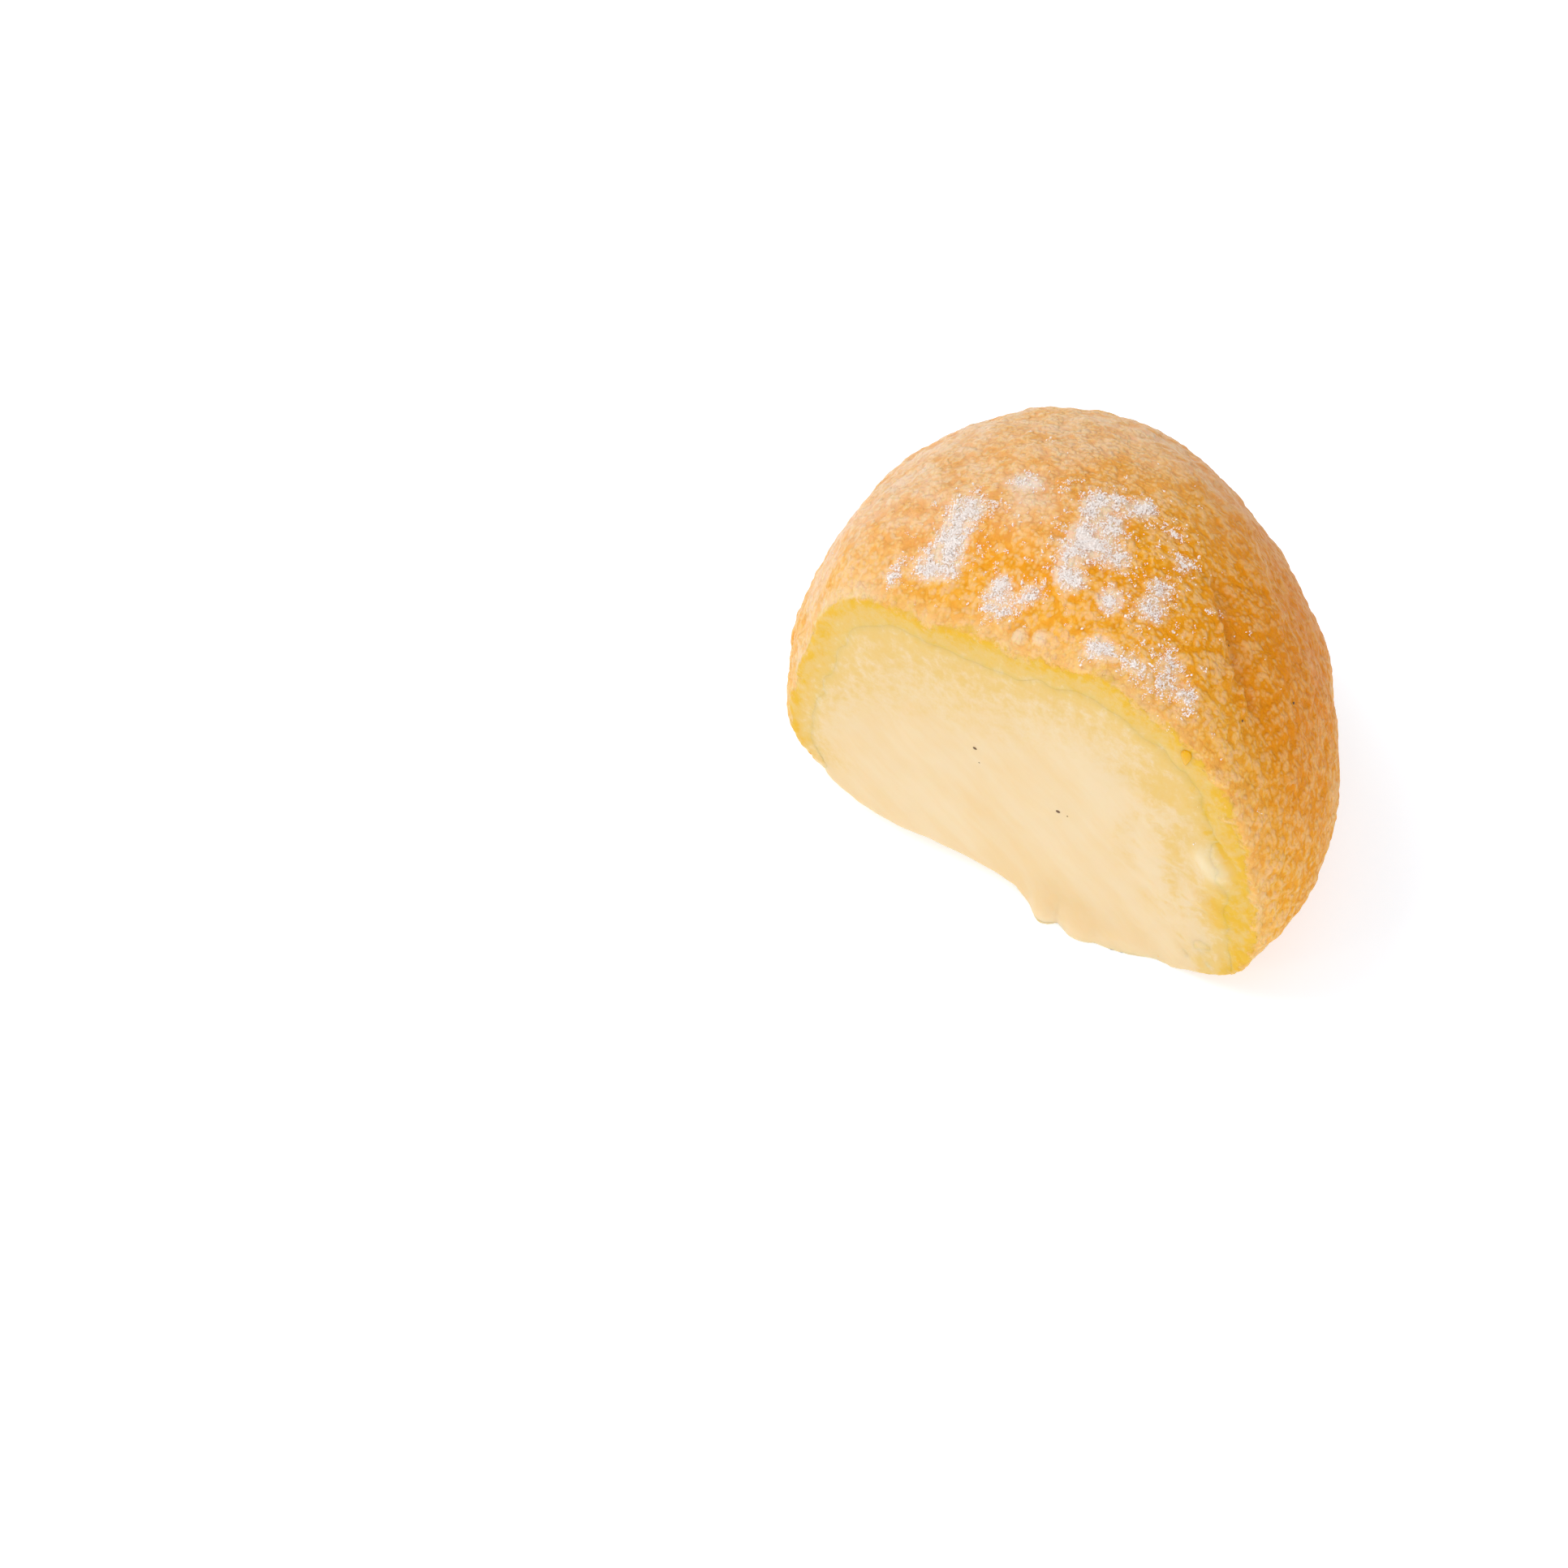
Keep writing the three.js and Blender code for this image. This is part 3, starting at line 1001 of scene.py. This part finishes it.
class BUNUELO_PG_vanilla(bpy.types.PropertyGroup):
    """Colours of the vanilla specks"""

    seed_dark: colour_setting("Dark", "Dark side of a seed", "#4a3320")
    seed_light: colour_setting("Light", "Light side of a seed", "#7d5a36")


class BUNUELO_PG_stage(bpy.types.PropertyGroup):
    """Camera, light and floor"""

    view_azimuth: FloatProperty(
        name="Azimuth",
        description="How far the camera stands round to the right of the cut",
        default=math.radians(32.47),
        subtype="ANGLE",
    )
    view_elevation: FloatProperty(
        name="Elevation",
        description="How far the camera looks down",
        default=math.radians(50),
        subtype="ANGLE",
    )
    view_width: FloatProperty(
        name="View width", description="Field of view", default=math.radians(18), subtype="ANGLE"
    )
    view_distance: length_setting("Distance", "From the camera to the round's foot", 395.2 * MM)
    axis_right: length_setting("Right of middle", "How far right of the frame's middle the foot is", 22.34 * MM)
    axis_low: length_setting("Below middle", "How far below the frame's middle the foot is", 0.23 * MM)
    key_power: FloatProperty(
        name="Key light", description="Power of the soft light at the left", default=3.6, min=0.0, subtype="POWER"
    )
    front_power: FloatProperty(
        name="Front light", description="Power of the soft light in front", default=2.4, min=0.0, subtype="POWER"
    )
    key_size: length_setting("Soft light size", "Side of the soft lights", 0.7)
    glint_power: FloatProperty(
        name="Glint", description="Power of the small light that gives glints", default=0.3, min=0.0, subtype="POWER"
    )
    glint_size: length_setting("Glint size", "Side of the small light", 0.1)
    sky: FloatProperty(name="Room light", description="Strength of the white room", default=0.62, min=0.0)
    glow: FloatProperty(name="Floor glow", description="Light that comes through the paper", default=0.46, min=0.0)
    paper: colour_setting("Paper", "Floor", "#ececee")
    light: colour_setting("Light through the paper", "Colour of that light", "#dcecf8")


class BUNUELO_OT_dough(bpy.types.Operator):
    """Makes the fried dough: blistered skin, fold, bubbles and the crumb of the cut"""

    bl_idname = "bunuelo.dough"
    bl_label = "Fried dough"

    def execute(self, context):
        settings = context.scene.bunuelo_dough
        piece = copy_of_node("dough_shell", "fried_dough")
        modify(piece, "REMESH", mode="VOXEL", voxel_size=settings.mesh_step)
        modify(piece, "SMOOTH", factor=0.5, iterations=3)
        self.thin_hidden(piece)

        points = points_of(piece)
        normals = normals_of(piece)
        cut, hidden, base = self.parts_of(points, normals)
        skin = np.clip(1 - cut - hidden - base, 0, 1)
        paint(piece, "skin", skin)
        skin_points = points[skin > 0.9]
        from_skin = distances(points, skin_points)
        from_cut = distances(points, points[cut > 0.9])
        across, deep, up = ((points - ROUND_AXIS) / MM).T
        paint(piece, "rim", smooth_step(0.9 * MM, 0.0, from_skin) * cut + smooth_step(0.9 * MM, 0.0, from_cut) * skin)
        paint(piece, "coarse", skin * smooth_step(9.0 * MM, 2.0 * MM, from_cut) * smooth_step(2, 12, across))
        stray = np.array([noise.noise_vector(Vector(point) / (1.3 * MM)) for point in points]) * 0.55 * MM
        groove = np.exp(-((path_distance(points + stray, in_frame(FOLD)) / (1.0 * MM)) ** 2)) * skin
        lip = np.exp(-((path_distance(points + stray, in_frame(FOLD_LIP)) / (0.75 * MM)) ** 2)) * skin
        lip *= np.clip(0.75 + 0.8 * ripples(points, 0.9 * MM), 0.2, 1)
        paint(piece, "groove", groove)
        paint(piece, "lip", lip)
        bubble = np.zeros(len(points))
        for middle in in_frame(BUBBLES):
            reach = np.linalg.norm(points - middle, axis=1) / (0.72 * MM)
            bubble = np.maximum(bubble, np.sqrt(np.clip(1 - reach**2, 0, 1)))
        paint(piece, "bubble", bubble)

        raise_group(piece, "lip", 0.6 * MM)
        raise_group(piece, "groove", -0.45 * MM)
        raise_group(piece, "bubble", 0.36 * MM)
        roughen_group(piece, "skin", "clouds", settings.swell_width, settings.swell_rise)
        before = points_of(piece)
        roughen_group(piece, "skin", "clouds", settings.wrinkle_width, settings.wrinkle_rise)
        roughen_group(piece, "skin", "domes", settings.dome_width, settings.dome_rise)
        roughen_group(piece, "coarse", "domes", 1.0 * MM, 0.2 * MM)
        roughen_group(piece, "rim", "clouds", 2.4 * MM, 0.8 * MM)
        roughen_group(piece, "rim", "clouds", 0.9 * MM, 0.4 * MM)

        piece.vertex_groups.clear()
        rise = ((points_of(piece) - before) * normals).sum(axis=1)
        self.shape_cut(piece, cut)
        store(piece, "relief", np.clip(rise / (0.09 * MM), -1, 1) * skin)
        inside = self.crust_on_cut(points)
        store(piece, "skin", np.clip((from_cut - from_skin + inside) / (2 * MM), -1, 1) + base)
        # Painted shade in the groove of the fold, at half strength
        store(piece, "fold", groove * 0.5)
        # Pale thin skin of the bubbles, with a painted highlight strongest at their middles
        store(piece, "bubble", bubble**1.5 * 0.75)
        # Pale breath of sugar, and painted sheen on the back and left of the crown
        store(piece, "breath_and_sheen", self.breath_and_sheen_share(points, from_cut) * skin)
        # Darker towards the right and back and higher up: painted shade of that side, kept in the browned mark
        side = smooth_step(4, 20, 0.75 * across + 0.65 * deep)
        store(piece, "browned_and_shaded", side * (0.2 + 0.8 * smooth_step(9, 22, up)))
        store(piece, "sunny", 0.75 * smooth_step(7.0 * MM, 1.0 * MM, from_cut))
        store(piece, "dust", np.zeros(len(points)))
        store(piece, "yellow", yellow_share(points, from_skin))
        store(piece, "wet", wet_share(points))
        choose(piece)
        bpy.ops.object.shade_smooth()
        piece.data.materials.append(fried_dough_material(settings))
        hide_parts("dough_shell")
        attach(piece, "root")
        return {"FINISHED"}

    def shape_cut(self, piece, cut):
        """Gives the cut its waves, crumb and lumps."""
        points = points_of(piece)
        on_cut = cut > 0
        points[on_cut, 1] -= cut_relief(points[on_cut]) * cut[on_cut]
        points[:, 0] += self.corner_out(points)
        points[:, 1] -= foot_forward(points)
        points[:, 2] -= foot_down(points)
        piece.data.vertices.foreach_set("co", points.ravel())
        piece.data.update()

    def corner_out(self, points):
        """How far the blunt corner at the right of the foot reaches out beyond the round."""
        across, deep, up = ((points - ROUND_AXIS) / MM).T
        near = np.exp(-(((deep + 11.4) / 4.5) ** 2) - ((up - 2.2) / 3.0) ** 2)
        return 1.4 * near * smooth_step(13, 20, across) * MM

    def breath_and_sheen_share(self, points, from_cut):
        """Where a breath of sugar lies, with a painted sheen on the crown: the back and left of the crown, one soft
        spot, and along the cut.
        """
        across, deep, up = ((points - ROUND_AXIS) / MM).T
        drift = 7 * ripples(points, 6.0 * MM)
        # The crown term paints the sheen on the back and left of the crown, along with the sugar
        crown = smooth_step(-5, 11, 0.7 * (deep - across) + drift) * smooth_step(7, 22, up + drift)
        crown *= smooth_step(18, -2, across) * smooth_step(22, 12, deep + drift)
        crown *= 1 + 0.3 * smooth_step(-9, -17, across)
        spot = np.exp(-(((across + 5.4) / 1.4) ** 2) - ((deep - 0.6) / 0.8) ** 2) * (up > 20)
        between = np.exp(-(((across + 3.6) / 2.4) ** 2) - ((deep + 1.4) / 2.0) ** 2) * (up > 20)
        rim = smooth_step(3.2 * MM, 0.4 * MM, from_cut) * smooth_step(8, 18, up)
        return np.clip(0.30 * crown + 0.65 * spot + 0.25 * between + 0.07 * rim, 0, 1)

    def crust_on_cut(self, points):
        """How far the crust reaches onto the cut: most at the upper right, and not at all under the cream."""
        across, _, up = ((points - ROUND_AXIS) / MM).T
        thick = smooth_step(9, 15, across) * smooth_step(10, 15, up)
        foot = smooth_step(4.0, 1.5, up) * smooth_step(15, 12, across) * (points[:, 1] < CUT_Y + 2.5 * MM)
        return (0.7 * thick - 3.0 * foot) * MM

    def parts_of(self, points, normals):
        """Shares of the cut, the hollow for the cream and the base at each vertex."""
        gaps = gaps_to_node(points, "cream_filling")
        near_cut = smooth_step(0.55, 0.25, (points[:, 1] - CUT_Y) / MM)
        cut = near_cut * smooth_step(0.62, 0.82, -normals[:, 1])
        hidden = (gaps < 0.75 * MM) * (1 - cut)
        base = (points[:, 2] < 0.12 * MM) * smooth_step(0.6, 0.9, -normals[:, 2])
        return cut, hidden, base * (1 - cut)

    def thin_hidden(self, piece):
        """Thins the hollow and the base, which don't show."""
        cut, hidden, base = self.parts_of(points_of(piece), normals_of(piece))
        thin_out(piece, (hidden > 0.9) | (base > 0.9), 0.05)


class BUNUELO_OT_cream(bpy.types.Operator):
    """Makes the cream, which fills the dough and shows at the cut"""

    bl_idname = "bunuelo.cream"
    bl_label = "Cream"

    def execute(self, context):
        settings = context.scene.bunuelo_cream
        piece = copy_of_node("cream_filling", "pastry_cream")
        modify(piece, "REMESH", mode="VOXEL", voxel_size=settings.mesh_step)
        modify(piece, "SMOOTH", factor=0.5, iterations=2)
        thin_out(piece, self.face_share(piece) < 0.02, 0.08)
        self.spread_to_dough(piece, settings)
        points = points_of(piece)
        store(piece, "yellow", yellow_share(points, distances(points, self.skin_points())))
        store(piece, "wet", wet_share(points))
        choose(piece)
        bpy.ops.object.shade_smooth()
        piece.data.materials.append(cream_material(settings))
        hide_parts("cream_filling")
        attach(piece, "root")
        return {"FINISHED"}

    def skin_points(self):
        """Points of the dough's skin and base."""
        dough = bpy.data.objects["fried_dough"]
        skin = np.empty(len(dough.data.vertices), np.float32)
        dough.data.attributes["skin"].data.foreach_get("value", skin)
        return points_of(dough)[skin > 0]

    def spread_to_dough(self, piece, settings):
        """Draws the cream's front over the cut dough, as the knife did, and its wall out to the dough."""
        points = points_of(piece)
        front = smooth_step(1.4, 0.5, (points[:, 1] - CUT_Y) / MM)
        face = self.face_share(piece)
        moved = points + normals_of(piece) * ((1 - front) * (FIT_GAP + 0.08 * MM))[:, None]
        turn, reach = around_cut(points)
        edge = outline_reach(points[front > 0.9], turn)
        dough = points_of(bpy.data.objects["fried_dough"])
        skin = outline_reach(dough[dough[:, 1] < CUT_Y + 0.4 * MM], turn)
        skin_across = CUT_MIDDLE[0] + skin * np.cos(turn)
        skin_up = CUT_MIDDLE[1] + skin * np.sin(turn)
        foot = smooth_step(5.0, 2.5, skin_up)
        uneven = 1 + 0.6 * ripples(np.column_stack([skin_across, 0 * turn, skin_up]), 2.2)
        bare = (settings.ring * uneven + settings.crumb * smooth_step(10, 16, skin_across)) * (1 - foot) / MM
        bare -= 0.3 * foot * smooth_step(19, 16, skin_across)
        grown = np.clip(skin - bare - edge, 0, None) * smooth_step(0.5, 1.0, reach / edge)
        moved[:, 0] += front * grown * np.cos(turn) * MM
        moved[:, 2] += front * grown * np.sin(turn) * MM
        moved[:, 2] = np.maximum(moved[:, 2], 0.1 * MM)
        moved[:, 1] -= front * (cad_cut(moved) - cad_cut(points))
        inset = skin - bare - reach - grown
        thinned = smooth_step(2.4, 0.0, inset) * smooth_step(0.9, 0.5, foot)
        sunk = settings.proud + (0.06 + 0.26 * smooth_step(6, 10, skin_up)) * MM
        moved[:, 1] -= front * (settings.proud - sunk * thinned)
        on_face = face > 0
        moved[on_face, 1] -= (cut_relief(moved[on_face]) + foot_forward(moved[on_face])) * face[on_face]
        piece.data.vertices.foreach_set("co", moved.ravel())
        piece.data.update()

    def face_share(self, piece):
        """1 on the cut face, 0 on the wall inside the dough."""
        points = points_of(piece)
        facing = smooth_step(0.5, 0.8, -normals_of(piece)[:, 1])
        return facing * smooth_step(0.9, 0.5, (points[:, 1] - CUT_Y) / MM)


class BUNUELO_OT_sugar(bpy.types.Operator):
    """Dusts the top with sugar: grains, and a film where they lie thickly"""

    bl_idname = "bunuelo.sugar"
    bl_label = "Sugar"

    def execute(self, context):
        settings = context.scene.bunuelo_sugar
        dough = bpy.data.objects["fried_dough"]
        tree = BVHTree.FromObject(dough, context.evaluated_depsgraph_get())
        random = np.random.default_rng(settings.seed)
        places, normals = self.fallen(tree, settings.grains, random)
        radius = settings.radius * np.exp(random.normal(0, 0.4, len(places)))
        radius = np.clip(radius, 0.02 * MM, 0.12 * MM)
        centres = places + normals * (radius * random.uniform(0.2, 0.9, len(places)))[:, None]
        piece = self.heap(centres, radius, random)
        piece.data.materials.append(sugar_material(settings))
        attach(piece, "root")
        self.leave_film(dough, places)
        return {"FINISHED"}

    def fallen(self, tree, count, random):
        """Where clumps of grains that fall along the trails land, with the dough's normal there."""
        shares = np.array([trail[3] for trail in SUGAR_TRAILS], float)
        shares /= shares.sum()
        places, normals = [], []
        down = Vector((0, 0, -1))
        while len(places) < count:
            start, end, spread, _ = SUGAR_TRAILS[random.choice(len(SUGAR_TRAILS), p=shares)]
            middle = np.array(start) + (np.array(end) - np.array(start)) * random.random()
            clump = middle + random.standard_t(2.4, 2) * spread * 0.6
            lace = 0.8 * noise.noise(Vector((*clump, 0)) * 0.9) + 1.2 * noise.noise(Vector((*clump, 5)) * 3.6)
            if lace < random.normal(0.05, 0.08):
                continue
            size = 1 + int(min(random.lognormal(1.0, 1.0), 30))
            for grain in clump + random.normal(0, 0.035 * math.sqrt(size), (size, 2)):
                over = Vector((*(grain * MM + ROUND_AXIS[:2]), 0.1))
                place, normal, _, _ = tree.ray_cast(over, down)
                if place is not None and place.z > 15 * MM and normal.z > 0.2:
                    heaped = abs(random.normal(0, 0.015 * math.sqrt(size))) * MM
                    places.append(place + normal * heaped)
                    normals.append(normal)
        return np.array(places[:count]), np.array(normals[:count])

    def heap(self, centres, radius, random):
        """All grains as one mesh: turned, stretched and ragged crystals of eight faces."""
        corners = np.vstack([np.eye(3), -np.eye(3)])
        faces = np.array([(0, 1, 2), (1, 3, 2), (3, 4, 2), (4, 0, 2), (1, 0, 5), (3, 1, 5), (4, 3, 5), (0, 4, 5)])
        count = len(centres)
        turned, _ = np.linalg.qr(random.normal(size=(count, 3, 3)))
        turned *= np.linalg.det(turned)[:, None, None]
        stretch = random.uniform(0.7, 1.4, (count, 1, 3)) * radius[:, None, None]
        ragged = random.uniform(0.8, 1.2, (count, len(corners), 1))
        points = (corners[None] * stretch * ragged) @ turned + centres[:, None]
        numbers = faces[None] + np.arange(count)[:, None, None] * len(corners)
        return mesh_piece("sugar_grains", points.reshape(-1, 3), numbers.reshape(-1, 3))

    def leave_film(self, dough, places):
        """Tells the dough's material where grains lie thickly."""
        tree = KDTree(len(places))
        for number, place in enumerate(places):
            tree.insert(place, number)
        tree.balance()
        reach = 1.0 * MM
        thick = [len(tree.find_range(point, reach)) for point in points_of(dough)]
        store(dough, "dust", np.clip(np.array(thick) / 700, 0, 1))


class BUNUELO_OT_drop(bpy.types.Operator):
    """Sets a drop of yolk on the rim of the cut"""

    bl_idname = "bunuelo.drop"
    bl_label = "Drop of yolk"

    def execute(self, context):
        settings = context.scene.bunuelo_drop
        dough = BVHTree.FromObject(bpy.data.objects["fried_dough"], context.evaluated_depsgraph_get())
        place, normal, _, _ = dough.find_nearest(Vector(in_frame(YOLK_DROP)))
        bpy.ops.object.select_all(action="DESELECT")
        bpy.ops.mesh.primitive_ico_sphere_add(subdivisions=4, radius=0.5)
        piece = context.object
        piece.name = "yolk_drop"
        modify(piece, "SIMPLE_DEFORM", deform_method="TAPER", deform_axis="Y", factor=1.1)
        piece.scale = (settings.width, settings.length, settings.rise)
        piece.rotation_mode = "QUATERNION"
        piece.rotation_quaternion = normal.to_track_quat("Z", "Y")
        piece.location = place
        bpy.ops.object.transform_apply(location=True, rotation=True, scale=True)
        bpy.ops.object.shade_smooth()
        piece.data.materials.append(yolk_material(settings))
        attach(piece, "root")
        return {"FINISHED"}


class BUNUELO_OT_vanilla(bpy.types.Operator):
    """Sets the dark vanilla specks into the cream and the skin"""

    bl_idname = "bunuelo.vanilla"
    bl_label = "Vanilla specks"

    def execute(self, context):
        settings = context.scene.bunuelo_vanilla
        graph = context.evaluated_depsgraph_get()
        cream = BVHTree.FromObject(bpy.data.objects["pastry_cream"], graph)
        dough = BVHTree.FromObject(bpy.data.objects["fried_dough"], graph)
        spots = []
        for across, up, length in CREAM_SPECKS:
            x, y, z = in_frame((across, -20, up))
            place, normal, _, _ = cream.ray_cast(Vector((x, y, z)), Vector((0, 1, 0)))
            spots.append((place, normal, length))
        for *middle, length in SKIN_SPECKS:
            place, normal, _, _ = dough.find_nearest(Vector(in_frame(middle)))
            spots.append((place, normal, length))
        made = []
        for number, (place, normal, length) in enumerate(spots):
            bpy.ops.object.select_all(action="DESELECT")
            bpy.ops.mesh.primitive_ico_sphere_add(subdivisions=2, radius=length * MM / 2, location=place)
            speck = bpy.context.object
            speck.rotation_mode = "QUATERNION"
            speck.rotation_quaternion = normal.to_track_quat("Z", "Y")
            speck.scale = (1.0, 0.72, 0.3)
            bpy.ops.object.transform_apply(location=True, rotation=True, scale=True)
            made.append(speck)
        bpy.ops.object.select_all(action="DESELECT")
        for speck in made:
            speck.select_set(True)
        context.view_layer.objects.active = made[0]
        bpy.ops.object.join()
        piece = context.object
        piece.name = "vanilla_specks"
        choose(piece)
        bpy.ops.object.shade_smooth()
        piece.data.materials.append(vanilla_material(settings))
        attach(piece, "root")
        return {"FINISHED"}


class BUNUELO_OT_stage(bpy.types.Operator):
    """Sets the floor, the light and the camera"""

    bl_idname = "bunuelo.stage"
    bl_label = "Stage"

    def execute(self, context):
        settings = context.scene.bunuelo_stage
        bpy.ops.object.select_all(action="DESELECT")
        bpy.ops.mesh.primitive_plane_add(size=6.0)
        floor = context.object
        floor.name = "paper_floor"
        floor.data.materials.append(floor_material(settings))
        self.set_camera(context, settings)
        self.set_light(context, settings)
        return {"FINISHED"}

    def set_camera(self, context, settings):
        turn, climb = settings.view_azimuth, settings.view_elevation
        right = Vector((math.cos(turn), math.sin(turn), 0))
        back = Vector((math.sin(turn) * math.cos(climb), -math.cos(turn) * math.cos(climb), math.sin(climb)))
        up = back.cross(right)
        eye = Vector(ROUND_AXIS) + back * settings.view_distance
        eye += up * settings.axis_low - right * settings.axis_right
        bpy.ops.object.camera_add(location=eye)
        camera = context.object
        camera.name = "photo_camera"
        camera.rotation_mode = "QUATERNION"
        camera.rotation_quaternion = back.to_track_quat("Z", "Y")
        camera.data.lens_unit = "FOV"
        camera.data.angle = settings.view_width
        camera.data.clip_start = 0.01
        context.scene.camera = camera

    def set_light(self, context, settings):
        world = bpy.data.worlds.new("White room")
        world.use_nodes = True
        world.node_tree.nodes["Background"].inputs["Color"].default_value = (1, 1, 1, 1)
        world.node_tree.nodes["Background"].inputs["Strength"].default_value = settings.sky
        context.scene.world = world
        lights = {
            "soft_key": ((-0.65, -0.15, 0.70), settings.key_power, settings.key_size),
            "soft_front": ((0.55, -0.60, 0.50), settings.front_power, settings.key_size),
            "glint": ((-0.35, -0.85, 0.42), settings.glint_power, settings.glint_size),
        }
        for name, (towards, power, size) in lights.items():
            direction = Vector(towards).normalized()
            bpy.ops.object.light_add(type="AREA", location=direction * 0.9)
            light = context.object
            light.name = name
            light.rotation_mode = "QUATERNION"
            light.rotation_quaternion = direction.to_track_quat("Z", "Y")
            light.data.size = size
            light.data.energy = power
        context.scene.view_settings.view_transform = "Standard"


class BUNUELO_PT_panel(bpy.types.Panel):
    """Lists the pieces of the bunuelo and their settings"""

    bl_idname = "BUNUELO_PT_panel"
    bl_label = "Bunuelo"
    bl_space_type = "VIEW_3D"
    bl_region_type = "UI"
    bl_category = "Bunuelo"

    def draw(self, context):
        for group, operator in GROUPS.items():
            settings = getattr(context.scene, group)
            box = self.layout.box()
            box.operator(operator.bl_idname)
            for name in type(settings).__annotations__:
                box.prop(settings, name)


SETTINGS = {
    "bunuelo_dough": BUNUELO_PG_dough,
    "bunuelo_cream": BUNUELO_PG_cream,
    "bunuelo_sugar": BUNUELO_PG_sugar,
    "bunuelo_drop": BUNUELO_PG_drop,
    "bunuelo_vanilla": BUNUELO_PG_vanilla,
    "bunuelo_stage": BUNUELO_PG_stage,
}
GROUPS = {
    "bunuelo_dough": BUNUELO_OT_dough,
    "bunuelo_cream": BUNUELO_OT_cream,
    "bunuelo_sugar": BUNUELO_OT_sugar,
    "bunuelo_drop": BUNUELO_OT_drop,
    "bunuelo_vanilla": BUNUELO_OT_vanilla,
    "bunuelo_stage": BUNUELO_OT_stage,
}
CLASSES = (*SETTINGS.values(), *GROUPS.values(), BUNUELO_PT_panel)


def register():
    for cls in CLASSES:
        bpy.utils.register_class(cls)
    for name, group in SETTINGS.items():
        setattr(bpy.types.Scene, name, PointerProperty(type=group))


def unregister():
    for name in SETTINGS:
        delattr(bpy.types.Scene, name)
    for cls in reversed(CLASSES):
        bpy.utils.unregister_class(cls)


def main():
    register()
    bpy.ops.bunuelo.dough()
    bpy.ops.bunuelo.cream()
    bpy.ops.bunuelo.sugar()
    bpy.ops.bunuelo.drop()
    bpy.ops.bunuelo.vanilla()
    bpy.ops.bunuelo.stage()


if __name__ == "__main__":
    main()
